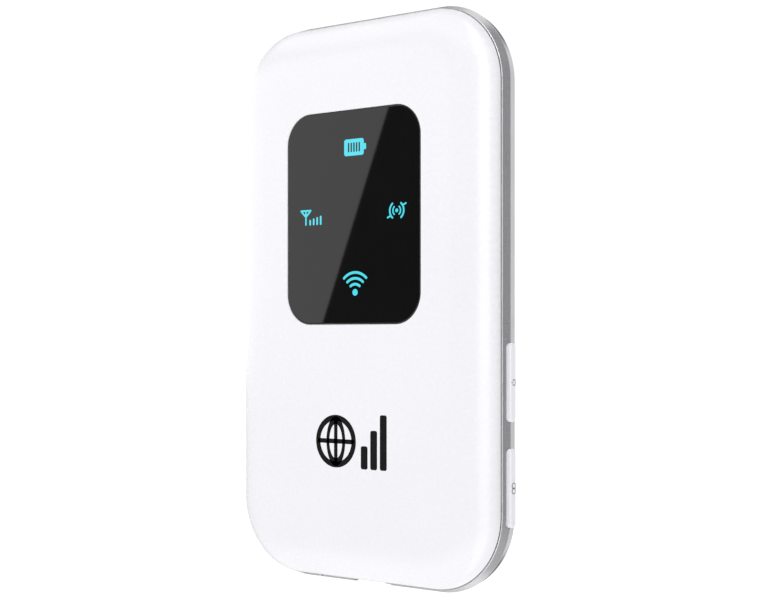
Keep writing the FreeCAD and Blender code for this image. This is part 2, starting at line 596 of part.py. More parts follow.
def make_status_leds():
    """One small lamp on the board below each icon."""
    lamps = new_body("status_leds", height=BOARD_FRONT)
    outlines = [rectangle("led_wide", "led_tall", x, z) for x, z in ICONS]
    pad(lamps, "lamps", draw(lamps, "outline", *outlines), "led_deep")


# ---------------------------------------------------------------- board and what it carries


def make_main_board():
    """Circuit board with its screw holes."""
    board = new_body("main_board", height="board_back")
    slab = draw(board, "outline", rounded("board_wide", "board_tall", "board_round"),
                circles=[(*spot, "board_hole") for spot in POSTS + SMALL_POSTS])
    pad(board, "slab", slab, "board_thick")


def make_chip(name):
    """Flat package with a round pin-one mark."""
    chip, _ = block(name, f"{name}_wide", f"{name}_tall", f"{name}_deep", x=f"{name}_at_x",
                    height=BOARD_FRONT, z=f"{name}_at_z")
    mark = draw(chip, "mark", height=f"{name}_deep", circles=[
        (f"chip_mark_inset - {name}_wide / 2", f"{name}_tall / 2 - chip_mark_inset", "chip_mark")])
    pocket(chip, "mark_dimple", mark, "chip_mark_deep")


def make_power_amplifiers():
    """Two equal amplifier packages under the radio shield."""
    pair = new_body("power_amplifiers", x="power_amplifiers_at_x", height=BOARD_FRONT,
                    z="power_amplifiers_at_z")
    loops = [rectangle("power_amplifiers_wide", "power_amplifiers_tall", z=row)
             for row in ("amplifier_upper", "amplifier_lower")]
    pad(pair, "packages", draw(pair, "outline", *loops), "power_amplifiers_deep")


def make_shield(name, vent_rows, vent_columns):
    """Pressed metal can, open towards the board, with rows of vent holes."""
    can, _ = block(name, f"{name}_wide", f"{name}_tall", f"{name}_deep", x=f"{name}_at_x",
                   height=BOARD_FRONT, z=f"{name}_at_z", radius="shield_round")
    inside = rounded(f"{name}_wide - 2 * shield_wall", f"{name}_tall - 2 * shield_wall",
                     "(shield_round - shield_wall)")
    pocket(can, "inside", draw(can, "inside_outline", inside), f"{name}_deep - shield_wall", onward=True)
    across = [f"vent_pitch * {column - (vent_columns - 1) / 2}" for column in range(vent_columns)]
    along = [f"vent_pitch * {row - (vent_rows - 1) / 2}" for row in range(vent_rows)]
    vents = [(x, z, "vent_radius") for x in across for z in along]
    pocket(can, "vents", draw(can, "vent_outline", height=f"{name}_deep", circles=vents), "2 * shield_wall")


def make_thermal_pad():
    """Soft pad that takes heat from the modem chip to the shield above it."""
    block("thermal_pad", "modem_chip_wide - 2 * thermal_inset", "modem_chip_tall - 2 * thermal_inset",
          "baseband_shield_deep - shield_wall - modem_chip_deep", x="modem_chip_at_x",
          height=f"{BOARD_FRONT} + modem_chip_deep", z="modem_chip_at_z", radius="shield_round")


def make_group(name):
    """Equal rectangular packages at several spots."""
    group = new_body(name, height=BOARD_FRONT)
    _, spots = BOARD_GROUPS[name]
    outlines = [rectangle(f"{name}_wide", f"{name}_tall", x, z) for x, z in spots]
    pad(group, "packages", draw(group, "outline", *outlines), f"{name}_deep")


def make_switch(name, z):
    """Side-press switch on the rear of the board, with a bore for its plunger."""
    switch, _ = block(name, "switch_wide", "switch_long", "switch_deep", x="switch_face - switch_wide / 2",
                      height="board_back - switch_deep", z=z)
    bore = draw(switch, "bore_outline", role="YZ_Plane", height="switch_wide / 2", circles=[
        ("-(button_height - board_back + switch_deep)", "0", "plunger_radius + plunger_slack")])
    pocket(switch, "bore", bore, "bore_deep")


def make_plunger(name, z):
    """Plunger that a side button presses."""
    plunger = new_body(name, x="switch_face - plunger_inside", height="button_height", z=z)
    rod = draw(plunger, "rod_outline", role="YZ_Plane", circles=[("0", "0", "plunger_radius")])
    pad(plunger, "rod", rod, "plunger_inside + plunger_proud")


def make_button(name, z):
    """Side button: rounded cap, stop bar inside the frame and a pip that meets the plunger."""
    button = new_body(name)
    cap = draw(button, "cap_outline", stadium("button_long", "button_wide", z), role="YZ_Plane",
               height="button_stop - merge")
    capped = pad(button, "cap", cap, "lip_width / 2 + button_proud - button_stop + merge")
    top = number("lip_width / 2 + button_proud")
    dress(button, "cap_rounding", "Fillet", capped, lambda edge: edge.BoundBox.XMin > top - TOLERANCE,
          "button_round")
    bar = [("-button_height + stop_wide / 2", f"{z} - stop_long / 2"),
           ("-button_height + stop_wide / 2", f"{z} + stop_long / 2"),
           ("-button_height - stop_wide / 2", f"{z} + stop_long / 2"),
           ("-button_height - stop_wide / 2", f"{z} - stop_long / 2")]
    stop = draw(button, "stop_outline", bar, role="YZ_Plane", height="button_stop - stop_thick")
    pad(button, "stop", stop, "stop_thick")
    pip = draw(button, "pip_outline", role="YZ_Plane", height="button_stop - stop_thick - pip_long",
               circles=[("-button_height", z, "pip_radius")])
    pad(button, "pip", pip, "pip_long + merge")


def make_reset_switch():
    """Small switch behind the pin hole."""
    switch, _ = block("reset_switch", "reset_wide", "reset_tall", "reset_deep", x="reset_x",
                      height="board_back - reset_deep", z="reset_face + reset_tall / 2")
    bore = draw(switch, "bore_outline", role="XY_Plane", height="-reset_tall / 2", circles=[
        ("0", "-(reset_height - board_back + reset_deep)", "reset_plunger_radius + plunger_slack")])
    pocket(switch, "bore", bore, "bore_deep", onward=True)


def make_reset_plunger():
    """Plunger that a pin presses through the bottom edge."""
    plunger = new_body("reset_plunger", x="reset_x", height="reset_height", z="reset_face - plunger_proud")
    rod = draw(plunger, "rod_outline", role="XY_Plane", circles=[("0", "0", "reset_plunger_radius")])
    pad(plunger, "rod", rod, "plunger_proud + plunger_inside")


def usb_loop(inset):
    """Micro-USB shell section, seen along Z: two corners are bevelled."""
    half, bevel = f"(usb_wide / 2 - {inset})", f"(usb_bevel - {inset} / 2)"
    front, back = f"(-board_back + {inset})", f"(-board_back + usb_high - {inset})"
    return [(f"-{half}", front), (half, front), (half, f"{back} - {bevel}"),
            (f"{half} - {bevel}", back), (f"-{half} + {bevel}", back), (f"-{half}", f"{back} - {bevel}")]


def make_usb_port():
    """Charging port: folded shell, tongue and its contacts."""
    shell = new_body("usb_shell", z="usb_mouth")
    tube = draw(shell, "outline", usb_loop("0"), usb_loop("usb_wall"), role="XY_Plane")
    pad(shell, "tube", tube, "usb_deep")
    tongue = new_body("usb_tongue", z="usb_mouth")
    bar = rectangle("tongue_wide", "tongue_high", z="-(tongue_top - tongue_high / 2)")
    pad(tongue, "bar", draw(tongue, "bar_outline", bar, role="XY_Plane", height="tongue_setback"),
        "usb_deep - tongue_setback")
    root = usb_loop("(usb_wall + tongue_gap)")
    root_outline = draw(tongue, "root_outline", root, role="XY_Plane", height="usb_deep - tongue_root")
    pad(tongue, "root", root_outline, "tongue_root")
    pins = new_body("usb_contacts", z="usb_mouth")
    loops = [rectangle("usb_pin_wide", "usb_pin_thick", x=f"{place} * usb_pin_pitch",
                       z="-(tongue_top - tongue_high - usb_pin_thick / 2)") for place in range(-2, 3)]
    pad(pins, "pins", draw(pins, "outline", *loops, role="XY_Plane", height="usb_pin_setback"),
        "usb_pin_long")


def make_card_socket():
    """Card socket on the rear of the board: pressed cover over six contacts."""
    socket, _ = block("sim_socket", "sim_wide", "sim_tall", "sim_deep", x="sim_x",
                      height="board_back - sim_deep", z="sim_z")
    channel = rectangle("sim_wide - 2 * sim_wall", "sim_tall", z="sim_wall")
    pocket(socket, "channel", draw(socket, "channel_outline", channel, height="sim_wall"),
           "sim_deep", onward=True)
    cut = rectangle("sim_wide / 3", "sim_tall / 3", z="sim_tall / 4")
    thumb = draw(socket, "thumb_outline", cut, height="sim_deep")
    pocket(socket, "thumb_cut", thumb, "sim_deep + cut_over")
    contacts = new_body("sim_contacts", x="sim_x", height="board_back - sim_pad_thick", z="sim_z")
    spots = [(f"{side} * sim_row", f"{row} * sim_pitch") for side in (-1, 1) for row in (-1, 0, 1)]
    pad(contacts, "pads", draw(contacts, "outline", *[
        rectangle("sim_pad_wide", "sim_pad_tall", x, z) for x, z in spots]), "sim_pad_thick")


def make_battery_connector():
    """Connector block with three sprung contacts that touch the end of the battery."""
    plug, _ = block("battery_connector", "plug_wide", "plug_tall", "plug_deep",
                    height="board_back - plug_deep", z="plug_z")
    slots = [rectangle("plug_slot", "plug_slot_tall", x=f"{place} * pad_pitch", z="plug_slot_z")
             for place in (-1, 0, 1)]
    pocket(plug, "slots", draw(plug, "slot_outline", *slots), "plug_deep - plug_roof", onward=True)
    springs = new_body("battery_springs")
    root, tip = "(plug_z - spring_root)", "(battery_z - battery_tall / 2 - spring_gap)"
    foot, nose = "-(board_back - spring_foot)", "-(battery_back + battery_deep / 2)"
    crest, fold = "-(battery_back + spring_crest)", f"{root} + spring_rise"
    strip = [(foot, root), (nose, f"{tip} - spring_thick"), (crest, fold),
             (crest, f"{fold} + spring_thick"), (nose, tip), (foot, f"{root} + spring_thick")]
    for place in (-1, 0, 1):
        drawn = draw(springs, f"strip_{place + 1}", strip, role="YZ_Plane",
                     height=f"{place} * pad_pitch - spring_wide / 2")
        pad(springs, f"spring_{place + 1}", drawn, "spring_wide")


# ---------------------------------------------------------------- battery


def make_battery():
    """Cell, moulded end cap, three contacts and a blank label, lifted out together."""
    cell_tall = "battery_tall - cap_tall"
    block("battery_cell", "battery_wide", cell_tall, "battery_deep", x="battery_x",
          height="battery_back", z="battery_z + cap_tall / 2", radius="battery_round")
    cap, _ = block("battery_end_cap", "battery_wide", "cap_tall", "battery_deep", x="battery_x",
                   height="battery_back", z="battery_z - battery_tall / 2 + cap_tall / 2")
    seats = [rectangle("pad_wide", "pad_tall", x=f"{place} * pad_pitch - battery_x", z="-battery_deep / 2")
             for place in (-1, 0, 1)]
    pocket(cap, "pad_seats", draw(cap, "seat_outline", *seats, role="XY_Plane", height="-cap_tall / 2"),
           "pad_thick", onward=True)
    low, deep = number("-cap_tall / 2"), number("battery_deep")

    def is_low_corner(edge):
        return edge.CenterOfMass.z < low + TOLERANCE and abs(edge.BoundBox.YLength - deep) < TOLERANCE

    dress(cap, "corners", "Fillet", cap.Tip, is_low_corner, "battery_round")
    pads = new_body("battery_contacts", height="battery_back", z="battery_z - battery_tall / 2")
    loops = [rectangle("pad_wide", "pad_tall", x=f"{place} * pad_pitch", z="-battery_deep / 2")
             for place in (-1, 0, 1)]
    pad(pads, "pads", draw(pads, "outline", *loops, role="XY_Plane"), "pad_thick")
    block("battery_label", "battery_label_wide", "battery_label_tall", "label_thick", x="battery_x",
          height="battery_back - label_thick", z="battery_z + cap_tall / 2", radius="shield_round")


def make_labels_and_foam():
    """Blank label in the battery bay and the foam that keeps the battery from rattling."""
    block("rating_label", "bay_label_wide", "bay_label_tall", "label_thick", x="battery_x",
          height="floor_back - label_thick", z="battery_z", radius="shield_round")
    block("cover_foam", "foam_wide", "foam_tall", "foam_thick", x="battery_x",
          height="rear_wall", z="battery_z", radius="shield_round")


# ---------------------------------------------------------------- fasteners and antennas


def make_screws(name, spots, head_radius, head_thick, shank_radius, shank_long, seat):
    """Pan-head screws with a cross recess, driven from the rear."""
    screws = new_body(name, height=seat)
    heads = draw(screws, "heads", height=f"-{head_thick}", circles=[(*spot, head_radius) for spot in spots])
    pad(screws, "head_pads", heads, head_thick)
    shanks = draw(screws, "shanks", circles=[(*spot, shank_radius) for spot in spots])
    pad(screws, "shank_pads", shanks, shank_long)
    crosses = [cross(*spot) for spot in spots]
    pocket(screws, "crosses", draw(screws, "cross_outline", *crosses, height=f"-{head_thick}"),
           "cross_deep", onward=True)


def cross(x, z):
    """Plus-shaped loop round a centre."""
    arm, half = "cross_long / 2", "cross_wide / 2"
    shape = [(half, half), (half, arm), (f"-{half}", arm), (f"-{half}", half), (f"-{arm}", half),
             (f"-{arm}", f"-{half}"), (f"-{half}", f"-{half}"), (f"-{half}", f"-{arm}"), (half, f"-{arm}"),
             (half, f"-{half}"), (arm, f"-{half}"), (arm, half)]
    return [(f"{x} + {across}", f"{z} + {along}") for across, along in shape]


def make_antenna(name, teeth, upright=False):
    """Thin conductor strip cut as a comb-like meander."""
    strip = new_body(name, x=f"{name}_at_x", height=f"floor_back - {name}_deep", z=f"{name}_at_z")
    half, low = f"{name}_wide / 2", f"-{name}_tall / 2"
    high, web = f"{name}_tall / 2", f"{name}_tall / 2 - strip_gap"
    pitch = f"{name}_wide / {2 * teeth - 1}"
    loop = [(f"-{half}", low)]
    for tooth in range(teeth - 1):
        start = f"-{half} + {pitch} * {2 * tooth + 1}"
        end = f"-{half} + {pitch} * {2 * tooth + 2}"
        loop += [(start, low), (start, web), (end, web), (end, low)]
    loop += [(half, low), (half, high), (f"-{half}", high)]
    if upright:
        loop = [(f"-({across})", along) for along, across in loop]
    pad(strip, "strip", draw(strip, "outline", loop), f"{name}_deep")


def make_antenna_springs():
    """Folded clips that carry the antenna feeds from the board to the chassis."""
    clips = new_body("antenna_springs")
    foot, inside = "-board_back", "-(board_back - clip_metal)"
    free = "-(floor_back + floor_thick + clip_gap)"
    lip = f"{free} - clip_metal"
    for index, (x, z) in enumerate(FEED_CLIPS):
        low, high = f"{z} - clip_long / 2", f"{z} + clip_long / 2"
        bend = f"{low} + clip_metal"
        fold = [(foot, low), (free, low), (free, high), (lip, high), (lip, bend), (inside, bend),
                (inside, high), (foot, high)]
        drawn = draw(clips, f"fold_{index}", fold, role="YZ_Plane", height=f"{x} - clip_wide / 2")
        pad(clips, f"clip_{index}", drawn, "clip_wide")


# ---------------------------------------------------------------- the whole assembly


def build_all():
    """Make every sub-part in the document."""
    make_front_cover()
    make_middle_frame()
    make_rear_housing()
    make_battery_cover()
    make_display_window()
    make_window_adhesive()
    make_icon_film()
    make_light_shroud()
    make_icon_diffusers()
    make_status_leds()
    make_main_board()
    for name in ("modem_chip", "memory_chip", "power_chip", "transceiver_chip", "wifi_chip"):
        make_chip(name)
    make_power_amplifiers()
    make_shield("baseband_shield", vent_rows=6, vent_columns=7)
    make_shield("rf_shield", vent_rows=6, vent_columns=2)
    make_shield("wifi_shield", vent_rows=1, vent_columns=3)
    make_thermal_pad()
    for name in BOARD_GROUPS:
        make_group(name)
    make_switch("power_switch", "power_z")
    make_switch("pairing_switch", "pairing_z")
    make_plunger("power_plunger", "power_z")
    make_plunger("pairing_plunger", "pairing_z")
    make_button("power_button", "power_z")
    make_button("pairing_button", "pairing_z")
    make_reset_switch()
    make_reset_plunger()
    make_usb_port()
    make_card_socket()
    make_battery_connector()
    make_battery()
    make_labels_and_foam()
    make_screws("case_screws", POSTS, "head_radius", "head_thick", "shank_radius", "shank_long",
                "floor_back + screw_sink")
    make_screws("board_screws", SMALL_POSTS, "small_head_radius", "small_head_thick",
                "small_shank_radius", "small_shank_long", "board_back")
    make_antenna("main_antenna", teeth=5)
    make_antenna("diversity_antenna", teeth=9)
    make_antenna("wifi_antenna", teeth=8, upright=True)
    make_antenna_springs()
    document.recompute()


SMALLEST_CUT = 1e-4


def check_all():
    """Stop with a plain message if anything failed, is empty or cuts nothing."""
    faults = []
    for item in document.Objects:
        if {"Invalid", "Error"} & set(item.State):
            faults.append(f"{item.Name} failed: {item.State}")
    for item in document.findObjects("PartDesign::Pocket"):
        before = item.BaseFeature.Shape
        if not item.Shape.isNull() and item.Shape.Volume > before.Volume - SMALLEST_CUT:
            faults.append(f"{item.Name} cuts nothing")
    for body in document.findObjects("PartDesign::Body"):
        if body.Shape.isNull() or not body.Shape.isValid() or not body.Shape.Solids:
            faults.append(f"{body.Label} has no valid solid")
    if faults:
        raise SystemExit("\n".join(faults))


def write_all():
    """Write one STEP file for each sub-part."""
    os.makedirs("parts", exist_ok=True)
    for body in document.findObjects("PartDesign::Body"):
        body.Shape.exportStep(os.path.join("parts", f"{body.Label}.step"))


build_all()
check_all()
write_all()
print(len(document.findObjects("PartDesign::Body")), "sub-parts written")
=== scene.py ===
import json
import math

import bmesh
import bpy
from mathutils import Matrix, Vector
from mathutils.geometry import tessellate_polygon


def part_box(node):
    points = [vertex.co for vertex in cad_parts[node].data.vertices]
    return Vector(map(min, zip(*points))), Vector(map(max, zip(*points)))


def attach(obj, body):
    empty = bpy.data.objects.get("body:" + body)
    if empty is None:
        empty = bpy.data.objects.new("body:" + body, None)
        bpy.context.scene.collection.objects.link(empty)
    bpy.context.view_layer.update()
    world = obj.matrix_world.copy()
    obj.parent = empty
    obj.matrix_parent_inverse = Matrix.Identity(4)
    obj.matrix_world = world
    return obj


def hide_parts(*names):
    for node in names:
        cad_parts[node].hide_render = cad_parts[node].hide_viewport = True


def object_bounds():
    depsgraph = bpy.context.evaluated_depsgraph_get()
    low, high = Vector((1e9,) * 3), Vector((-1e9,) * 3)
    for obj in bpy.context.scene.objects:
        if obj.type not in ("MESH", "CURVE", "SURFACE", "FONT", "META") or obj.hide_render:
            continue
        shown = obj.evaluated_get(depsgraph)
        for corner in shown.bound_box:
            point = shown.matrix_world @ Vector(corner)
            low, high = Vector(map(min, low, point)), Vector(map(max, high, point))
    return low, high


# Looks of a pocket-size mobile hotspot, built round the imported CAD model.
# Lengths are millimetres until they reach a mesh. The front face looks towards -Y, so a height above
# the flat back face is measured along -Y. An inset is how far an outline is pulled in from the case's.

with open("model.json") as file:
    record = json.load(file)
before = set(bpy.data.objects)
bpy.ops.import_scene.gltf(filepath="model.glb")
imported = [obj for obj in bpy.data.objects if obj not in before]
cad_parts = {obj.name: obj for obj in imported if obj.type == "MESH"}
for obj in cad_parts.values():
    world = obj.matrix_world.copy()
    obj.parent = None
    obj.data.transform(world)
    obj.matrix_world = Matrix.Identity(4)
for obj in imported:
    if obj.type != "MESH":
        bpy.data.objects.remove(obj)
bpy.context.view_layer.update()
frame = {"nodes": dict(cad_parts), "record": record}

MM = 0.001


def box_mm(node):
    """Lowest and highest corner of a CAD node, in millimetres."""
    low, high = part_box(node)
    return low / MM, high / MM


def node_middle(node):
    """Middle of a CAD node's box, in millimetres."""
    low, high = box_mm(node)
    return (low + high) / 2


# ---------------- sizes taken from the CAD model

frame_low, frame_high = box_mm("middle_frame")
front_low, front_high = box_mm("front_cover")
back_high = box_mm("battery_cover")[1]
window_low, window_high = box_mm("display_window")

RIDGE_PROUD = 0.25      # the frame's ridge stands proud of the case outline
FRAME_EXTRA = 0.2       # the frame is longer than the shells at either end
LIP_WIDE = frame_high.x - RIDGE_PROUD                   # half width of the case outline
LIP_TALL = frame_high.z - RIDGE_PROUD - FRAME_EXTRA     # half length of the case outline
LIP_ROUND = 13.5        # its corner radius
THICKNESS = -front_low.y
FRONT_SEAM = -frame_low.y
REAR_SEAM = -frame_high.y
FRONT_INSET = LIP_WIDE - front_high.x
REAR_INSET = LIP_WIDE - back_high.x
WINDOW_X = (window_high.x - window_low.x) / 2
WINDOW_Z = (window_high.z - window_low.z) / 2
WINDOW_MIDDLE = (window_high.z + window_low.z) / 2
WINDOW_FACE = -window_low.y
WINDOW_BACK = -window_high.y
WINDOW_ROUND = 5.3      # corner radius

# ---------------- outlines and profiles

CORNER_STEPS = 28
SIDE_STEPS = 8
EDGE_STEPS = 36
OVERSHOOT = 1.0         # a cutting tool starts this far outside the case


def rounded_loop(half_wide, half_tall, radius, middle=0.0):
    """Points (x, z) of a rounded rectangle; every loop has the same number of them."""
    corners = [(1, 1, 0), (-1, 1, 1), (-1, -1, 2), (1, -1, 3)]
    points = []
    for side_x, side_z, quarter in corners:
        centre_x = side_x * (half_wide - radius)
        centre_z = middle + side_z * (half_tall - radius)
        for step in range(CORNER_STEPS + 1):
            angle = (quarter + step / CORNER_STEPS) * math.pi / 2
            points.append((centre_x + radius * math.cos(angle), centre_z + radius * math.sin(angle)))
    divided = []
    for index, here in enumerate(points):
        there = points[(index + 1) % len(points)]
        divided.append(here)
        if index % (CORNER_STEPS + 1) == CORNER_STEPS:
            for step in range(1, SIDE_STEPS):
                part = step / SIDE_STEPS
                divided.append((here[0] + (there[0] - here[0]) * part, here[1] + (there[1] - here[1]) * part))
    return divided


def case_row(inset, height, longer=0.0):
    """Outline of the case, pulled in by inset and longer at either end, at a height above the back."""
    loop = rounded_loop(LIP_WIDE - inset, LIP_TALL + longer - inset, LIP_ROUND - inset)
    return [(x, -height, z) for x, z in loop]


def window_row(grow, height):
    """Outline of the window grown by grow, at a height above the back face."""
    loop = rounded_loop(WINDOW_X + grow, WINDOW_Z + grow, WINDOW_ROUND + grow, WINDOW_MIDDLE)
    return [(x, -height, z) for x, z in loop]


def fillet(corners, steps=5):
    """Outline (a, b) points from corners (a, b, radius), closed, with each corner rounded."""
    rounded = []
    for index, (a, b, radius) in enumerate(corners):
        here = Vector((a, b))
        before = Vector(corners[index - 1][:2])
        after = Vector(corners[(index + 1) % len(corners)][:2])
        if radius == 0:
            rounded.append((a, b))
            continue
        to_before = (before - here).normalized()
        to_after = (after - here).normalized()
        half = to_before.angle(to_after) / 2
        reach = radius / math.tan(half)
        middle = here + (to_before + to_after).normalized() * (radius / math.sin(half))
        first = here + to_before * reach - middle
        last = here + to_after * reach - middle
        for step in range(steps + 1):
            part = step / steps
            spoke = (first * (1 - part) + last * part).normalized() * radius
            rounded.append(tuple(middle + spoke))
    return rounded


def box_outline(low_a, low_b, high_a, high_b, radius, steps=3):
    """Outline of a rectangle with rounded corners."""
    return fillet([(high_a, low_b, radius), (high_a, high_b, radius),
                   (low_a, high_b, radius), (low_a, low_b, radius)], steps)


def quarter_ellipse(inset, height, run, rise):
    """Profile (inset, height) of an edge that leaves the seam upright and meets the face level."""
    points = []
    for step in range(EDGE_STEPS + 1):
        angle = step / EDGE_STEPS * math.pi / 2
        points.append((inset + run * (1 - math.cos(angle)), height + rise * math.sin(angle)))
    return points


def round_edge(radius, steps):
    """Steps (inwards, down) of a rounded edge, from the side wall up to the face."""
    points = []
    for step in range(steps + 1):
        angle = step / steps * math.pi / 2
        points.append((radius * (1 - math.cos(angle)), radius * (1 - math.sin(angle))))
    return points


def arc(centre, radius, start, end, steps=16):
    """Points of an arc; angles in degrees."""
    points = []
    for step in range(steps + 1):
        angle = math.radians(start + (end - start) * step / steps)
        points.append((centre[0] + radius * math.cos(angle), centre[1] + radius * math.sin(angle)))
    return points


# ---------------- meshes

SHARP_ANGLE = math.radians(32)


def shade(mesh):
    """Smooth shading that breaks at sharp edges."""
    edited = bmesh.new()
    edited.from_mesh(mesh)
    for face in edited.faces:
        face.smooth = True
    for edge in edited.edges:
        edge.smooth = len(edge.link_faces) == 2 and edge.calc_face_angle() < SHARP_ANGLE
    edited.to_mesh(mesh)
    edited.free()


def make_object(name, mesh_data):
    """Object in the scene for a finished bmesh, with outward faces and smooth shading."""
    bmesh.ops.remove_doubles(mesh_data, verts=mesh_data.verts, dist=2e-7)
    bmesh.ops.recalc_face_normals(mesh_data, faces=mesh_data.faces)
    mesh = bpy.data.meshes.new(name)
    mesh_data.to_mesh(mesh)
    mesh_data.free()
    made = bpy.data.objects.new(name, mesh)
    bpy.context.scene.collection.objects.link(made)
    shade(mesh)
    return made


def keep_flats(piece):
    """Let large flat faces decide the shading of the small ones next to them."""
    weighted = piece.modifiers.new("flat faces", "WEIGHTED_NORMAL")
    weighted.keep_sharp = True
    weighted.weight = 80
    return piece


def skin(name, rows, closed=False):
    """Mesh through rows of points; it is closed into a ring, or capped at both ends."""
    made = bmesh.new()
    rings = [[made.verts.new([value * MM for value in point]) for point in row] for row in rows]
    count = len(rings[0])
    pairs = list(zip(rings, rings[1:])) + ([(rings[-1], rings[0])] if closed else [])
    for here, there in pairs:
        for index in range(count):
            following = (index + 1) % count
            made.faces.new((here[index], here[following], there[following], there[index]))
    if not closed:
        made.faces.new(rings[0])
        made.faces.new(rings[-1][::-1])
    return make_object(name, made)


def combine(target, tools, operation):
    """Cut tools from target, or join them to it; the tools are used up."""
    for tool in tools:
        step = target.modifiers.new("tool", "BOOLEAN")
        step.operation = operation
        step.solver = "EXACT"
        step.object = tool
    bpy.context.view_layer.update()
    graph = bpy.context.evaluated_depsgraph_get()
    mesh = bpy.data.meshes.new_from_object(target.evaluated_get(graph))
    target.modifiers.clear()
    target.data = mesh
    for tool in tools:
        bpy.data.objects.remove(tool)
    edited = bmesh.new()
    edited.from_mesh(mesh)
    bmesh.ops.remove_doubles(edited, verts=edited.verts, dist=1e-6)
    edited.to_mesh(mesh)
    edited.free()
    shade(mesh)


def prism(name, outline, low, high, along):
    """Straight solid: outline points (a, b) carried from low to high along one axis."""
    def place(point, level):
        first, second = point
        if along == "x":
            return (level, first, second)
        if along == "y":
            return (first, level, second)
        return (first, second, level)
    return skin(name, [[place(point, low) for point in outline], [place(point, high) for point in outline]])


def circle(centre, radius, steps=40):
    """Points of a circle."""
    return arc(centre, radius, 0, 360 * (steps - 1) / steps, steps - 1)


def stadium(half_long, half_wide, centre, steps=20):
    """Points (a, b) of a slot, long along b."""
    straight = half_long - half_wide
    points = arc((centre[0], centre[1] + straight), half_wide, 0, 180, steps)
    return points + arc((centre[0], centre[1] - straight), half_wide, 180, 360, steps)


# ---------------- front shell

FRONT_RUN = 7.6         # how far the pillow edge reaches in
FRONT_WALL = 1.5
FRONT_SKIRT = 2.3       # thickness of the shell at its seam
RECESS_DEEP = 1.0
WINDOW_LEDGE = 1.7
RECESS_GAP = 0.05
RIM_BEVEL = 0.2
TONGUE_DROP = 0.45      # the tongue reaches this far below the seam
TONGUE_WIDE = 0.6
LIP_EDGE = 0.14         # small rounding of both shells at their seams
LIP_CLEAR = 1.2         # the pillow edge starts this many roundings away from the seam
PILOT_DEEP = 2.2
SINK = 0.3              # a joined piece goes this far into the other one
POST_X = 21.0
POSTS = [(x, z, 2.1, 0.75) for x in (-POST_X, POST_X) for z in (-41.0, 41.0)]     # x, z, radius, pilot radius
POSTS += [(x, 5.0, 1.8, 0.7) for x in (-POST_X, POST_X)]


def seam_edge(inset, seam, ahead):
    """Small rounding of a shell where it meets the seam; ahead is 1 for the front and -1 for the rear."""
    reach = 2.0
    corners = [(inset + reach, seam, 0), (inset, seam, LIP_EDGE), (inset, seam + ahead * reach, 0)]
    return fillet(corners if ahead > 0 else corners[::-1])[1:-1]


def clear_of_seam(profile, seam):
    """The part of a shell's profile that lies beyond its rounding at the seam."""
    return [point for point in profile if abs(point[1] - seam) > LIP_EDGE * LIP_CLEAR]


def front_posts(lining):
    """Screw posts of the front shell, and the pilot holes in them."""
    foot = -box_mm("main_board")[0].y
    posts, pilots = [], []
    for x, z, radius, pilot in POSTS:
        posts.append(prism("post", circle((x, z), radius), -foot, -(lining + SINK), "y"))
        pilots.append(prism("pilot", circle((x, z), pilot), -(foot - 0.1), -(foot + PILOT_DEEP), "y"))
    return posts, pilots


def make_front_cover():
    """White front shell with its pillow edge, window recess and screw posts."""
    lining = THICKNESS - FRONT_WALL
    flat = FRONT_INSET + FRONT_RUN
    skirt = FRONT_INSET + FRONT_SKIRT
    tongue_end = FRONT_SEAM - TONGUE_DROP
    tongue_outer = skirt - TONGUE_WIDE
    outer = quarter_ellipse(FRONT_INSET, FRONT_SEAM, FRONT_RUN, THICKNESS - FRONT_SEAM)
    edge = [(flat + 0.5, THICKNESS), (flat + 0.15, THICKNESS)]
    edge += clear_of_seam(outer, FRONT_SEAM)[::-1] + seam_edge(FRONT_INSET, FRONT_SEAM, 1)[::-1]
    edge += [(tongue_outer, FRONT_SEAM), (tongue_outer, tongue_end), (skirt, tongue_end)]
    edge += quarter_ellipse(skirt, FRONT_SEAM, flat - skirt, lining - FRONT_SEAM)
    recess = THICKNESS - RECESS_DEEP
    hole = [(-WINDOW_LEDGE, lining), (-WINDOW_LEDGE, recess), (RECESS_GAP, recess)]
    hole += [(RECESS_GAP + inwards, THICKNESS - down) for inwards, down in round_edge(RIM_BEVEL, 4)]
    hole.append((RECESS_GAP + RIM_BEVEL + 0.2, THICKNESS))
    rows = [case_row(*point) for point in edge] + [window_row(*point) for point in hole]
    cover = skin("front_shell", rows, closed=True)
    posts, pilots = front_posts(lining)
    combine(cover, posts, "UNION")
    combine(cover, pilots, "DIFFERENCE")
    return keep_flats(cover)


# ---------------- rear shell

REAR_RUN = 6.6
REAR_WALL = 1.2
REAR_SKIRT = 1.45
TAB_THICK = 0.8
TAB_WIDE = 5.0
TAB_INSET = 3.1
TAB_ROUND = 0.12
TAB_LEVEL = (1.7, 5.6)      # from the back face
NOTCH_LONG = 3.5            # half length of the pry notch
NOTCH_WIDE = 0.375
NOTCH_Z = -30.0
NOTCH_DEEP = 1.2


def make_tabs():
    """Locating tabs that stand on the inside of the rear shell."""
    reach_x = LIP_WIDE - TAB_INSET - TAB_THICK / 2
    reach_z = LIP_TALL - TAB_INSET - TAB_THICK / 2
    places = [(-reach_x, z, TAB_THICK, TAB_WIDE) for z in (-30.0, 0.0, 30.0)]
    places += [(reach_x, z, TAB_THICK, TAB_WIDE) for z in (30.0, 10.0)]
    places += [(x, reach_z, TAB_WIDE, TAB_THICK) for x in (-9.0, 9.0)]
    places += [(x, -reach_z, TAB_WIDE, TAB_THICK) for x in (-12.0, 12.0)]
    low, high = TAB_LEVEL
    tabs = []
    for x, z, wide_x, wide_z in places:
        outline = box_outline(x - wide_x / 2, z - wide_z / 2, x + wide_x / 2, z + wide_z / 2, TAB_ROUND)
        tabs.append(prism("tab", outline, -low, -high, "y"))
    return tabs


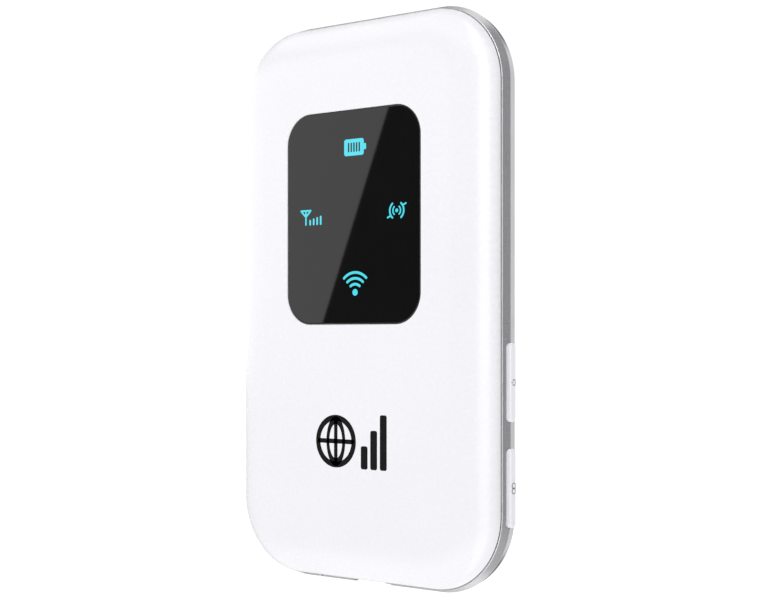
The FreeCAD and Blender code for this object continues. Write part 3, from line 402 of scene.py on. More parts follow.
def rear_profile(inset, run, rise):
    """Profile of the rear shell's edge, from the seam down to the back face."""
    return [(across, REAR_SEAM - down) for across, down in quarter_ellipse(inset, 0, run, rise)]


def make_battery_cover():
    """White rear shell that lifts off."""
    depth = REAR_SEAM - REAR_WALL
    outer = rear_profile(REAR_INSET, REAR_RUN, REAR_SEAM)
    inner = rear_profile(REAR_INSET + REAR_SKIRT, depth, depth)
    edge = [(REAR_INSET + REAR_RUN + step, 0) for step in (5.0, 0.5, 0.15)]
    edge += clear_of_seam(outer, REAR_SEAM)[::-1] + seam_edge(REAR_INSET, REAR_SEAM, -1) + inner
    edge += [(inner[-1][0] + step, REAR_WALL) for step in (0.5, 5.0)]
    cover = skin("rear_shell", [case_row(*point) for point in edge])
    combine(cover, make_tabs(), "UNION")
    notch = stadium(NOTCH_LONG, NOTCH_WIDE, (-REAR_SEAM, NOTCH_Z))
    notch_end = -(LIP_WIDE - REAR_INSET - NOTCH_DEEP)
    combine(cover, [prism("notch", notch, -LIP_WIDE - OVERSHOOT, notch_end, "x")], "DIFFERENCE")
    return keep_flats(cover)


# ---------------- silver frame

GROOVE_INSET = 0.62
GROOVE_WIDE = 0.26
BEAD_WIDE = 0.31
BEAD_INSET = 0.32
BEAD_RADIUS = 0.18
RIDGE_HEIGHT = 6.87
REAR_FACE_INSET = 0.1
REAR_FACE_HEIGHT = 5.2
RIDGE_ROUND = 0.3
REAR_EDGE_RADIUS = 1.3
FRAME_WALL = 1.9
REBATE_WIDE = 0.5
REBATE_DEEP = 0.75
BUTTONS = ("power_button", "pairing_button")
BUTTON_LONG = 6.5       # half length
BUTTON_WIDE = 0.8       # half width
BUTTON_EDGE = 0.42
BUTTON_GAP = 0.08
GUIDE = {"inner": 26.1, "outer": 27.3, "top": -5.9, "bottom": -39.0, "back": 5.3, "front": 8.25}
PORT_GAP = 0.3
PORT_ROUND = 0.6
PIN_RADIUS = 0.55


def frame_profile():
    """Section of the frame as (inset, height), starting in the groove below the front shell."""
    bead_front = FRONT_SEAM - GROOVE_WIDE
    half_bead = BEAD_WIDE / 2
    groove = [(GROOVE_INSET, FRONT_SEAM), (GROOVE_INSET, bead_front)]
    bead_centre = (BEAD_INSET + math.sqrt(BEAD_RADIUS ** 2 - half_bead ** 2), bead_front - half_bead)
    half_angle = math.degrees(math.asin(half_bead / BEAD_RADIUS))
    bead = arc(bead_centre, BEAD_RADIUS, 180 - half_angle, 180 + half_angle, 10)
    ridge = fillet([(BEAD_INSET, bead_front - BEAD_WIDE, 0), (-RIDGE_PROUD, RIDGE_HEIGHT, RIDGE_ROUND),
                    (REAR_FACE_INSET, REAR_FACE_HEIGHT, 0)])[1:-1]
    edge_centre = (REAR_EDGE_RADIUS, REAR_SEAM + REAR_EDGE_RADIUS)
    start = math.atan2(REAR_FACE_HEIGHT - edge_centre[1], REAR_FACE_INSET - edge_centre[0])
    rear_edge = arc(edge_centre, REAR_EDGE_RADIUS, math.degrees(start) + 360, 270)
    inside = [(FRAME_WALL - REBATE_WIDE, REAR_SEAM), (FRAME_WALL - REBATE_WIDE, REAR_SEAM + REBATE_DEEP),
              (FRAME_WALL, REAR_SEAM + REBATE_DEEP), (FRAME_WALL, FRONT_SEAM)]
    return groove + bead + ridge + rear_edge + inside


def bottom_cut(name, outline):
    """Tool for an opening (x, y) through the frame's bottom edge."""
    return prism(name, outline, -LIP_TALL - 2 * OVERSHOOT, -LIP_TALL + FRAME_WALL + OVERSHOOT, "z")


def make_middle_frame():
    """Silver frame with the button slots, the port opening and the pin hole."""
    rows = [case_row(inset, height, FRAME_EXTRA) for inset, height in frame_profile()]
    ring = skin("silver_frame", rows, closed=True)
    guide = box_outline(GUIDE["inner"], GUIDE["bottom"], GUIDE["outer"], GUIDE["top"], 0)
    combine(ring, [prism("guide", guide, -GUIDE["front"], -GUIDE["back"], "y")], "UNION")
    cuts = []
    for node in BUTTONS:
        slot = stadium(BUTTON_LONG + BUTTON_GAP, BUTTON_WIDE + BUTTON_GAP, node_middle(node).yz)
        cuts.append(prism("slot", slot, GUIDE["inner"] - OVERSHOOT, LIP_WIDE + 2 * OVERSHOOT, "x"))
    low, high = box_mm("usb_shell")
    port = box_outline(low.x - PORT_GAP, low.y - PORT_GAP, high.x + PORT_GAP, high.y + PORT_GAP,
                       PORT_ROUND, 5)
    cuts.append(bottom_cut("port", port))
    cuts.append(bottom_cut("pin", circle(node_middle("reset_plunger").xy, PIN_RADIUS)))
    combine(ring, cuts, "DIFFERENCE")
    return keep_flats(ring)


# ---------------- buttons and window

BUTTON_CROWN = 0.03     # the cap's middle line stands this far above its rounded edge
CROWN_WIDE = 0.4
CROWN_STEPS = 4
STOP_BASE = 25.45
STOP_TOP = 26.05
STOP_LONG = 7.5         # half length
STOP_WIDE = 1.2         # half width
STOP_ROUND = 0.15
PIP_RADIUS = 0.6
WINDOW_EDGE = 0.16
WINDOW_LAP = 5.0        # the window's end faces start this far inside its outline


def make_button(node, name):
    """Side button: crowned cap with a soft edge, stop bar and the pip that meets its plunger."""
    low, high = box_mm(node)
    y, z = node_middle(node).yz
    sections = [(0.0, STOP_TOP - 0.1), (0.0, high.x - BUTTON_EDGE - 0.3)]
    sections += [(inwards, high.x - BUTTON_CROWN - down) for inwards, down in round_edge(BUTTON_EDGE, 8)]
    for step in range(1, CROWN_STEPS + 1):
        part = step / CROWN_STEPS
        sections.append((BUTTON_EDGE + part * CROWN_WIDE, high.x - BUTTON_CROWN * (1 - part) ** 2))
    rows = []
    for inset, level in sections:
        outline = stadium(BUTTON_LONG - inset, BUTTON_WIDE - inset, (y, z))
        rows.append([(level, a, b) for a, b in outline])
    button = skin(name, rows)
    bar = box_outline(y - STOP_WIDE, z - STOP_LONG, y + STOP_WIDE, z + STOP_LONG, STOP_ROUND)
    pip = circle((y, z), PIP_RADIUS, 28)
    combine(button, [prism("stop", bar, STOP_BASE, STOP_TOP, "x"),
                     prism("pip", pip, low.x, STOP_BASE + 0.1, "x")], "UNION")
    return keep_flats(button)


def make_window():
    """Smoked window with a fine polished edge."""
    edge = [(-WINDOW_LAP, WINDOW_BACK), (0, WINDOW_BACK)]
    edge += [(-inwards, WINDOW_FACE - down) for inwards, down in round_edge(WINDOW_EDGE, 6)]
    edge += [(-WINDOW_EDGE - 0.1, WINDOW_FACE), (-WINDOW_LAP, WINDOW_FACE)]
    return keep_flats(skin("smoked_window", [window_row(*point) for point in edge]))


# ---------------- printed and lit symbols

SYMBOL_RISE = 0.02      # a lit symbol stands this far out of its surface, and goes as far into it
INK_RISE = 0.004
INK_DEEP = 0.04         # how far the ink on a button goes into it


def stroke(path, wide, cap_steps=6):
    """Outline of a line of even width with round ends, along points (a, b)."""
    points = [Vector(point) for point in path]
    left, right = [], []
    for index, here in enumerate(points):
        before = points[max(index - 1, 0)]
        after = points[min(index + 1, len(points) - 1)]
        ahead = (after - before).normalized()
        across = Vector((-ahead.y, ahead.x)) * (wide / 2)
        left.append(here + across)
        right.append(here - across)

    def cap(centre, start):
        spoke = start - centre
        turned = []
        for step in range(1, cap_steps):
            angle = -math.pi * step / cap_steps
            turned.append(centre + Vector((spoke.x * math.cos(angle) - spoke.y * math.sin(angle),
                                           spoke.x * math.sin(angle) + spoke.y * math.cos(angle))))
        return turned

    outline = left + cap(points[-1], left[-1]) + right[::-1] + cap(points[0], right[0])
    return [tuple(point) for point in outline]


def line(path, wide):
    """Shape of a single line of even width."""
    return [stroke(path, wide)]


def dot(centre, radius, steps):
    """Shape of a round dot."""
    return [circle(centre, radius, steps)]


def hoop(centre, outer, inner, steps):
    """Shape of a ring."""
    return [circle(centre, outer, steps), circle(centre, inner, steps)[::-1]]


def make_symbol(name, shapes, place):
    """Thin solid pieces from shapes, each a list of an outline and its holes.

    place(a, b, top) gives the point of the surface, or of the top of the symbol.
    """
    made = bmesh.new()
    for outlines in shapes:
        levels = []
        for top in (False, True):
            levels.append([[made.verts.new([value * MM for value in place(a, b, top)]) for a, b in outline]
                           for outline in outlines])
        flat = [[Vector((a, b, 0)) for a, b in outline] for outline in outlines]
        for level in levels:
            joined = [vertex for outline in level for vertex in outline]
            for triangle in tessellate_polygon(flat):
                made.faces.new([joined[index] for index in triangle])
        for base, top in zip(*levels):
            for index in range(len(base)):
                following = (index + 1) % len(base)
                made.faces.new((base[index], base[following], top[following], top[index]))
    return make_object(name, made)


def on_window(a, b, top):
    """Place on the window's face."""
    return (a, -(WINDOW_FACE + (SYMBOL_RISE if top else -SYMBOL_RISE)), b)


def on_face(a, b, top):
    """Place on the front face; the printed ink is almost level with it."""
    return (a, -(THICKNESS + (INK_RISE if top else -SYMBOL_RISE)), b)


def on_button(node):
    """Place on a side button, following its rounded edge; a runs along Y and b along Z."""
    face = box_mm(node)[1].x
    middle = node_middle(node).y

    def place(a, b, top):
        past = max(abs(a - middle) - (BUTTON_WIDE - BUTTON_EDGE), 0)
        fall = BUTTON_EDGE - math.sqrt(BUTTON_EDGE ** 2 - min(past, BUTTON_EDGE) ** 2)
        return (face - fall + (INK_RISE if top else -INK_DEEP), a, b)
    return place


def battery_symbol():
    """Battery with five charge slots."""
    left, right, low, high = -1.66, 2.72, 24.72, 27.58
    pitch, slot_wide, slot_gap = 0.6, 0.34, 0.62
    body = box_outline(left, low, right, high, 0.42, 5)
    middle = (left + right) / 2
    slots = []
    for index in range(5):
        centre = middle + (index - 2) * pitch
        slots.append(box_outline(centre - slot_wide / 2, low + slot_gap,
                                 centre + slot_wide / 2, high - slot_gap, 0.1))
    tip = box_outline(right - 0.05, 25.62, 3.24, 26.68, 0.22)
    return [[body] + slots, [tip]]


def signal_symbol():
    """Aerial and four rising bars."""
    top, joint, foot, middle = 15.95, 14.75, 13.2, -10.53
    wing, wide = 1.3, 0.32
    reach, upper = wing - wide / 2, top - wide / 2
    shapes = [line([(middle, foot + wide / 2), (middle, upper)], wide),
              line([(middle - reach, upper), (middle + reach, upper)], wide)]
    for side in (-1, 1):
        shapes.append(line([(middle, joint - 0.05), (middle + side * reach, upper)], wide))
    for index in range(4):
        left = -9.72 + index * 0.82
        shapes.append([box_outline(left, foot, left + 0.38, 14.2 + index * 0.2, 0.16)])
    return shapes


def data_symbol():
    """Round dot between two pairs of curved arrows."""
    centre = Vector((9.92, 14.86))
    shapes = [dot(centre, 0.32, 16)]
    for side in (0, 180):
        shapes.append(line(arc(centre, 0.82, side - 50, side + 50, 12), 0.28))
        shapes.append(line(arc(centre, 1.5, side - 52, side + 52, 16), 0.34))
        ahead = Vector((math.cos(math.radians(side)), math.sin(math.radians(side))))
        across = Vector((-ahead.y, ahead.x))
        start = centre + ahead * 1.32 + across * 0.85
        end = centre + ahead * 1.95 + across * 1.12
        shapes.append(line([start, end], 0.3))
    return shapes


def wireless_symbol():
    """Dot below three arcs."""
    centre = Vector((0.78, 1.0))
    shapes = [dot((centre.x, 1.32), 0.58, 24)]
    for radius, half_angle in ((1.72, 36), (2.72, 40), (3.72, 42)):
        shapes.append(line(arc(centre, radius, 90 - half_angle, 90 + half_angle, 20), 0.46))
    return shapes


def network_mark():
    """Plain printed mark: a globe beside three rising bars."""
    centre, radius, wide, steps = Vector((-3.55, -24.3)), 4.05, 1.0, 64
    reach = radius - wide / 4
    shapes = [hoop(centre, radius + wide / 2, radius - wide / 2, steps)]
    for along in (Vector((reach, 0)), Vector((0, reach))):
        shapes.append(line([centre - along, centre + along], wide * 0.8))
    oval = []
    for ring in hoop(centre, radius + wide * 0.25, radius - wide * 1.1, steps):
        oval.append([((a + centre.x) / 2, b) for a, b in ring])
    shapes.append(oval)
    for index in range(3):
        left = 2.1 + index * 2.1
        shapes.append([box_outline(left, -28.85, left + 1.5, -24.9 + index * 2.7, 0.35)])
    return shapes


def power_symbol():
    """Broken ring with a line in its gap; it lies on its side, with the gap towards the front."""
    centre = node_middle("power_button").yz + Vector((0.1, 0))
    short_line = [centre - Vector((0.12 * step, 0)) for step in range(1, 6)]
    return [line(arc(centre, 0.46, -140, 140, 22), 0.15), line(short_line, 0.15)]


def pairing_symbol():
    """Two linked rings."""
    middle = node_middle("pairing_button").yz
    return [hoop(middle + Vector((0.04, side * 0.4)), 0.56, 0.42, 32) for side in (-1, 1)]


# ---------------- material building blocks


def add_node(tree, kind, inputs=None, **settings):
    """Add a shader node; an input is a value or another node's output."""
    node = tree.nodes.new(kind)
    for key, value in settings.items():
        setattr(node, key, value)
    for key, value in (inputs or {}).items():
        socket = node.inputs[key]
        if isinstance(value, bpy.types.NodeSocket):
            tree.links.new(value, socket)
        else:
            socket.default_value = value
    return node


def calc(tree, operation, *values):
    """Output of a math node."""
    return add_node(tree, "ShaderNodeMath", dict(enumerate(values)), operation=operation).outputs[0]


def times(tree, *values):
    """Product of two or more values."""
    product = values[0]
    for value in values[1:]:
        product = calc(tree, "MULTIPLY", product, value)
    return product


def add_parts(tree, base, parts):
    """Base value with each part's shape times its strength on top."""
    total = base
    for shape, strength in parts:
        total = calc(tree, "ADD", times(tree, shape, strength), total)
    return total


def mix_colour(tree, factor, first, second):
    """Mix of two colours."""
    return add_node(tree, "ShaderNodeMix", {0: factor, 6: first, 7: second}, data_type="RGBA").outputs[2]


def mix_value(tree, factor, first, second):
    """Mix of two values."""
    return add_node(tree, "ShaderNodeMix", {0: factor, 2: first, 3: second}, data_type="FLOAT").outputs[0]


def axes(tree, vector):
    """X, Y and Z of a vector."""
    return add_node(tree, "ShaderNodeSeparateXYZ", {0: vector}).outputs


def rgba(colour):
    """Colour with full opacity."""
    return (*colour, 1.0)


def local_mm(tree, stretch=(1, 1, 1)):
    """The piece's own coordinates in millimetres."""
    place = add_node(tree, "ShaderNodeTexCoord").outputs["Object"]
    scale = tuple(value / MM for value in stretch)
    return add_node(tree, "ShaderNodeVectorMath", {0: place, 1: scale}, operation="MULTIPLY").outputs[0]


def dot_product(tree, first, second):
    """Dot product of two vectors."""
    node = add_node(tree, "ShaderNodeVectorMath", {0: first, 1: second}, operation="DOT_PRODUCT")
    return node.outputs["Value"]


def noise(tree, place, size, detail=2.0, rough=0.5):
    """Soft noise whose features are about size millimetres."""
    node = add_node(tree, "ShaderNodeTexNoise",
                    {"Vector": place, "Scale": 1.0 / size, "Detail": detail, "Roughness": rough})
    return node.outputs["Fac"]


def spread(tree, value, low, high, from_low=0.3, from_high=0.7):
    """Stretch a value to a range."""
    ranges = {"From Min": from_low, "From Max": from_high, "To Min": low, "To Max": high}
    return add_node(tree, "ShaderNodeMapRange", {"Value": value, **ranges}).outputs["Result"]


def patchy(tree, value, light, dark):
    """Colour that wanders between a light and a dark tone with a noise value."""
    return mix_colour(tree, spread(tree, value, 0.0, 1.0), rgba(light), rgba(dark))


def smooth_step(tree, value, low, high):
    """0 at low and 1 at high, level beyond them; it falls where low is the larger one."""
    ranges = {"From Min": low, "From Max": high, "To Min": 0.0, "To Max": 1.0}
    node = add_node(tree, "ShaderNodeMapRange", {"Value": value, **ranges}, interpolation_type="SMOOTHSTEP")
    return node.outputs["Result"]


def card(tree, value, low, high, soft):
    """1 between low and high, with soft ends."""
    rising = smooth_step(tree, value, low - soft, low + soft)
    falling = smooth_step(tree, value, high - soft, high + soft)
    return calc(tree, "SUBTRACT", rising, falling)


def bump(tree, height, depth, strength=1.0, below=None):
    """Bump from a height between 0 and 1; depth in millimetres."""
    inputs = {"Height": height, "Distance": depth * MM, "Strength": strength}
    if below is not None:
        inputs["Normal"] = below
    return add_node(tree, "ShaderNodeBump", inputs).outputs["Normal"]


def edge_wear_and_highlight(tree, radius):
    """0 on flat faces and 1 at sharp edges, from a bevelled normal."""
    bevel = add_node(tree, "ShaderNodeBevel", {"Radius": radius * MM}, samples=4)
    normal = add_node(tree, "ShaderNodeNewGeometry").outputs["Normal"]
    return spread(tree, dot_product(tree, bevel.outputs[0], normal), 1.0, 0.0, 0.75, 0.99)


def new_material(name, paint, *look, **extras):
    """Material whose surface comes from paint(tree, ...)."""
    material = bpy.data.materials.new(name)
    material.use_nodes = True
    tree = material.node_tree
    tree.nodes.clear()
    shader = paint(tree, *look, **extras)
    output = tree.nodes.new("ShaderNodeOutputMaterial")
    tree.links.new(shader, output.inputs["Surface"])
    return material


def principled(tree, **inputs):
    """Principled surface; an input's name is written with underscores."""
    named = {key.replace("_", " "): value for key, value in inputs.items()}
    return add_node(tree, "ShaderNodeBsdfPrincipled", named).outputs[0]


def plain(tree, light, dark, patch, rough, grain, depth, metallic=0.0, coat=0.0, gleam=0.5):
    """Moulded, pressed or cast surface: uneven colour, uneven gloss and a fine grain."""
    place = local_mm(tree)
    wide = noise(tree, place, patch, 3.0)
    fine = noise(tree, place, grain, 4.0, 0.6)
    colour = patchy(tree, wide, light, dark)
    gloss = calc(tree, "ADD", spread(tree, wide, *rough), spread(tree, fine, -0.04, 0.04))
    return principled(tree, Base_Color=colour, Roughness=gloss, Metallic=metallic, Coat_Weight=coat,
                      Coat_Roughness=0.08, Specular_IOR_Level=gleam, Normal=bump(tree, fine, depth))


# ---------------- materials of the outside

# painted shade along the shell's front seam: its colour, how far it reaches from the seam and where it fades
# towards the ends
PAINTED_SEAM_SHADE = (0.80, 0.795, 0.82)
PAINTED_SEAM_SHADE_REACH = 1.6
PAINTED_SEAM_SHADE_ENDS = (42.0, 34.0)      # the shade fades out between these distances from mid height
# dark metal colour painted as shade in the frame's groove and on its corner rim
PAINTED_SHADE_METAL = (0.12, 0.12, 0.125)


def glossy_white(tree, light, dark, rough, seam=None):
    """Glossy moulded plastic: a faint flow pattern and orange peel, with painted shade that darkens it from
    top to bottom and more painted shade at a side seam.
    """
    place = local_mm(tree)
    along_y, along_z = axes(tree, place)[1:]
    flow = spread(tree, noise(tree, place, 18.0, 2.0), 0.0, 0.3)
    # painted shade: the colour darkens from the top towards the bottom
    painted_shade_below = spread(tree, along_z, 0.0, 0.7, 45.0, -45.0)
    peel = noise(tree, place, 1.1, 2.0)
    speck = noise(tree, place, 0.12, 3.0)
    colour = mix_colour(tree, calc(tree, "ADD", flow, painted_shade_below), rgba(light), rgba(dark))
    if seam is not None:
        # painted shade: the colour darkens close to the front seam on the long sides
        from_seam = calc(tree, "ABSOLUTE", calc(tree, "ADD", along_y, seam))
        straight = smooth_step(tree, calc(tree, "ABSOLUTE", along_z), *PAINTED_SEAM_SHADE_ENDS)
        painted_seam_shade = times(tree, smooth_step(tree, from_seam, PAINTED_SEAM_SHADE_REACH, 0.0), straight)
        colour = mix_colour(tree, painted_seam_shade, colour, rgba(PAINTED_SEAM_SHADE))
    gloss = calc(tree, "ADD", spread(tree, peel, rough - 0.02, rough + 0.02),
                 spread(tree, speck, -0.01, 0.01))
    normal = bump(tree, speck, 0.0004, 0.5, bump(tree, peel, 0.0012, 0.5))
    return principled(tree, Base_Color=colour, Roughness=gloss, Normal=normal)


def bead_and_groove(tree, height):
    """1 on the frame's bead, and 1 in the groove in front of it, which is coloured with painted shade."""
    bead_front = FRONT_SEAM - GROOVE_WIDE
    on_bead = card(tree, height, bead_front - BEAD_WIDE - 0.02, bead_front + 0.02, 0.02)
    return on_bead, smooth_step(tree, height, bead_front + 0.01, bead_front + 0.03)


def corner_rim_shade(tree, height):
    """1 where the frame's rear face turns out of sight in the corners; there a dark line of painted shade
    goes on the rim.
    """
    normal = add_node(tree, "ShaderNodeNewGeometry").outputs["Normal"]
    in_corner = smooth_step(tree, calc(tree, "ABSOLUTE", axes(tree, normal)[2]), 0.08, 0.35)
    at_rear = smooth_step(tree, height, RIDGE_HEIGHT, RIDGE_HEIGHT - 0.15)
    facing = add_node(tree, "ShaderNodeLayerWeight", {"Blend": 0.5}).outputs["Facing"]
    return times(tree, in_corner, at_rear, smooth_step(tree, facing, 0.7, 0.82))


def satin_silver(tree):
    """Satin silver frame: fine blasted grain, uneven gloss, brighter edges that are partly wear and partly
    painted highlight, and painted shade in the groove and on the corner rim.
    """
    place = local_mm(tree)
    wide = noise(tree, place, 6.0, 3.0)
    grain = noise(tree, place, 0.09, 3.0, 0.65)
    height = times(tree, axes(tree, place)[1], -1.0)
    on_bead, painted_groove_shade = bead_and_groove(tree, height)
    painted_rim_shade = corner_rim_shade(tree, height)
    colour = patchy(tree, wide, (0.60, 0.60, 0.62), (0.56, 0.56, 0.575))
    # brighter edges: partly wear, partly painted highlight
    colour = mix_colour(tree, times(tree, edge_wear_and_highlight(tree, 0.08), 0.5), colour, rgba((0.80, 0.80, 0.81)))
    # painted shade: the groove in front of the bead is coloured dark
    colour = mix_colour(tree, painted_groove_shade, colour, rgba(PAINTED_SHADE_METAL))
    # painted shade: a dark line on the frame's rear rim in the corners, where it turns away from view
    colour = mix_colour(tree, painted_rim_shade, colour, rgba(PAINTED_SHADE_METAL))
    gloss = calc(tree, "ADD", spread(tree, wide, 0.22, 0.26), spread(tree, grain, -0.03, 0.03))
    gloss = add_parts(tree, gloss, ((on_bead, 0.2), (painted_rim_shade, 0.3)))
    return principled(tree, Base_Color=colour, Metallic=calc(tree, "SUBTRACT", 1.0, painted_rim_shade), Roughness=gloss,
                      Normal=bump(tree, grain, 0.0006, 0.4))


def smoked_plastic(tree):
    """Almost black window: polished, with hair-fine wipe marks."""
    wipe = noise(tree, local_mm(tree, (0.15, 1, 1)), 0.25, 4.0)
    wide = noise(tree, local_mm(tree), 9.0, 2.0)
    colour = patchy(tree, wide, (0.0042, 0.0042, 0.0045), (0.0034, 0.0034, 0.0036))
    return principled(tree, Base_Color=colour, Roughness=spread(tree, wipe, 0.008, 0.02), IOR=1.5,
                      Normal=bump(tree, wipe, 0.0001, 0.2))


def lit_symbol(tree):
    """Cyan light through the mask, with a slightly uneven glow."""
    glow = noise(tree, local_mm(tree), 0.5, 2.0)
    colour = patchy(tree, glow, (0.068, 0.74, 0.865), (0.06, 0.69, 0.82))
    light = add_node(tree, "ShaderNodeEmission",
                     {"Color": colour, "Strength": spread(tree, glow, 0.92, 1.05)}).outputs[0]
    gloss = principled(tree, Base_Color=rgba((0.02, 0.03, 0.03)), Roughness=0.06,
                       Normal=bump(tree, glow, 0.0005))
    return add_node(tree, "ShaderNodeAddShader", {0: light, 1: gloss}).outputs[0]


def printed_ink(tree, light, dark):
    """Pad-printed ink with fine pinholes in its gloss."""
    return plain(tree, light, dark, 0.8, (0.5, 0.6), 0.06, 0.002, gleam=0.15)


# ---------------- materials of the inside


def circuit_board(tree):
    """Solder mask with copper tracks that show through it and plated via dots."""
    place = local_mm(tree)
    across, _, up = axes(tree, place)
    flat = add_node(tree, "ShaderNodeCombineXYZ", {0: across, 1: up}).outputs[0]
    tracks = add_node(tree, "ShaderNodeTexBrick", {
        "Vector": flat, "Scale": 0.9, "Mortar Size": 0.045, "Mortar Smooth": 0.1,
        "Brick Width": 1.7, "Row Height": 0.42}).outputs["Fac"]
    vias = add_node(tree, "ShaderNodeTexVoronoi", {"Vector": flat, "Scale": 0.55})
    dots = spread(tree, vias.outputs["Distance"], 1.0, 0.0, 0.10, 0.13)
    mask = mix_colour(tree, tracks, rgba((0.012, 0.12, 0.055)), rgba((0.03, 0.26, 0.11)))
    colour = mix_colour(tree, dots, mask, rgba((0.75, 0.60, 0.25)))
    gloss = spread(tree, noise(tree, place, 2.0), 0.25, 0.38)
    return principled(tree, Base_Color=colour, Roughness=gloss, Metallic=times(tree, dots, 0.9),
                      Normal=bump(tree, calc(tree, "ADD", tracks, dots), 0.03, 0.5))


def rolled_metal(tree, light, dark, rough, stretch):
    """Rolled or pressed metal with a direction to its grain and brighter edges that are partly wear and
    partly painted highlight.
    """
    lines = noise(tree, local_mm(tree, stretch), 0.12, 5.0, 0.6)
    wide = noise(tree, local_mm(tree), 4.0, 2.0)
    colour = patchy(tree, lines, light, dark)
    # brighter edges: partly wear, partly painted highlight
    colour = mix_colour(tree, times(tree, edge_wear_and_highlight(tree, 0.1), 0.4), colour, rgba((0.88, 0.88, 0.86)))
    gloss = calc(tree, "ADD", spread(tree, lines, rough - 0.06, rough + 0.06),
                 spread(tree, wide, -0.03, 0.03))
    return principled(tree, Base_Color=colour, Metallic=1.0, Roughness=gloss,
                      Normal=bump(tree, lines, 0.003))


def battery_wrap(tree):
    """Dark wrapped cell: creased film with a soft sheen."""
    crease = noise(tree, local_mm(tree, (1.0, 1.0, 0.35)), 5.0, 5.0, 0.55)
    fine = noise(tree, local_mm(tree), 0.3, 3.0)
    colour = patchy(tree, crease, (0.035, 0.037, 0.042), (0.055, 0.057, 0.063))
    normal = bump(tree, fine, 0.004, 0.5, bump(tree, crease, 0.12, 0.5))
    return principled(tree, Base_Color=colour, Roughness=spread(tree, crease, 0.28, 0.42),
                      Coat_Weight=0.3, Coat_Roughness=0.15, Normal=normal)


def label_paper(tree):
    """Blank label: paper fibres and slightly uneven white."""
    fibres = noise(tree, local_mm(tree, (0.4, 1.0, 1.6)), 0.25, 5.0, 0.7)
    wide = noise(tree, local_mm(tree), 8.0, 2.0)
    colour = patchy(tree, fibres, (0.86, 0.86, 0.84), (0.78, 0.78, 0.755))
    return principled(tree, Base_Color=colour, Roughness=spread(tree, wide, 0.6, 0.72),
                      Normal=bump(tree, fibres, 0.01, 0.6))


def foam(tree):
    """Closed-cell foam: small round pores."""
    pores = add_node(tree, "ShaderNodeTexVoronoi", {"Vector": local_mm(tree), "Scale": 1.8})
    distance = pores.outputs["Distance"]
    colour = mix_colour(tree, spread(tree, distance, 0.0, 1.0, 0.1, 0.6), rgba((0.02, 0.02, 0.022)),
                        rgba((0.085, 0.085, 0.09)))
    return principled(tree, Base_Color=colour, Roughness=spread(tree, distance, 0.95, 0.8),
                      Sheen_Weight=0.3, Normal=bump(tree, distance, 0.12))


ACROSS = (0.08, 1, 1)       # stretch of a grain that runs along X
UPRIGHT = (1, 1, 0.1)       # stretch of a grain that runs along Z
EVEN = (1, 1, 1)

# light tone, dark tone, roughness
SHELL_WHITE = ((0.94, 0.933, 0.967), (0.885, 0.877, 0.912), 0.27)
BUTTON_WHITE = ((0.86, 0.855, 0.90), (0.84, 0.835, 0.88), 0.2)

# slot: light tone, dark tone, patch size, roughness, grain size, grain depth
PLAIN = {
    "dark_film": ((0.016, 0.016, 0.018), (0.026, 0.026, 0.028), 6.0, (0.35, 0.5), 0.1, 0.002),
    "white_inner_plastic": ((0.80, 0.80, 0.78), (0.74, 0.74, 0.72), 3.0, (0.4, 0.55), 0.15, 0.01),
    "milky_diffuser": ((0.86, 0.89, 0.90), (0.80, 0.84, 0.85), 1.5, (0.45, 0.55), 0.1, 0.006),
    "lamp": ((0.90, 0.86, 0.60), (0.82, 0.74, 0.42), 0.5, (0.15, 0.25), 0.08, 0.004),
    "chassis_plastic": ((0.76, 0.76, 0.785), (0.70, 0.70, 0.725), 7.0, (0.42, 0.58), 0.22, 0.014),
    "chip_package": ((0.020, 0.020, 0.022), (0.034, 0.034, 0.036), 1.6, (0.5, 0.65), 0.07, 0.006),
    "black_plastic": ((0.018, 0.018, 0.019), (0.03, 0.03, 0.031), 2.0, (0.45, 0.6), 0.12, 0.01),
    "gold_contact": ((0.86, 0.64, 0.26), (0.76, 0.54, 0.20), 0.8, (0.18, 0.3), 0.08, 0.003),
    "thermal_silicone": ((0.36, 0.42, 0.48), (0.30, 0.35, 0.41), 1.2, (0.75, 0.9), 0.18, 0.03),
    "ceramic": ((0.50, 0.37, 0.25), (0.40, 0.28, 0.18), 0.4, (0.5, 0.65), 0.06, 0.004),
}
PLAIN_EXTRAS = {"milky_diffuser": {"coat": 0.2}, "lamp": {"coat": 0.6}, "gold_contact": {"metallic": 1.0}}

# slot: light tone, dark tone, roughness, stretch of the grain
ROLLED = {
    "shield_metal": ((0.66, 0.66, 0.64), (0.56, 0.56, 0.54), 0.32, ACROSS),
    "port_metal": ((0.70, 0.70, 0.70), (0.60, 0.60, 0.60), 0.25, UPRIGHT),
    "copper_strip": ((0.78, 0.42, 0.24), (0.66, 0.33, 0.18), 0.3, UPRIGHT),
    "screw_steel": ((0.56, 0.56, 0.57), (0.44, 0.44, 0.45), 0.35, EVEN),
}


def make_materials():
    """One material for each slot of the record."""
    made = {
        "white_shell": new_material("white_shell", glossy_white, *SHELL_WHITE, seam=FRONT_SEAM),
        "white_button": new_material("white_button", glossy_white, *BUTTON_WHITE),
        "silver_frame": new_material("satin_silver", satin_silver),
        "smoked_window": new_material("smoked_plastic", smoked_plastic),
    }
    for paint in (circuit_board, battery_wrap, label_paper, foam):
        made[paint.__name__] = new_material(paint.__name__, paint)
    for slot, look in PLAIN.items():
        made[slot] = new_material(slot, plain, *look, **PLAIN_EXTRAS.get(slot, {}))
    for slot, look in ROLLED.items():
        made[slot] = new_material(slot, rolled_metal, *look)
    return made


def assign(piece, material):
    """Give a piece one material."""
    piece.data.materials.clear()
    piece.data.materials.append(material)


# ---------------- the object

MATERIALS = make_materials()


def dress_cad_nodes():
    """Give every CAD node its slot's material; the nodes that aren't replaced below keep their own mesh."""
    slots = {row["node"]: row["material_slot"] for row in frame["record"]["subparts"]}
    for node, piece in frame["nodes"].items():
        assign(piece, MATERIALS[slots[node]])


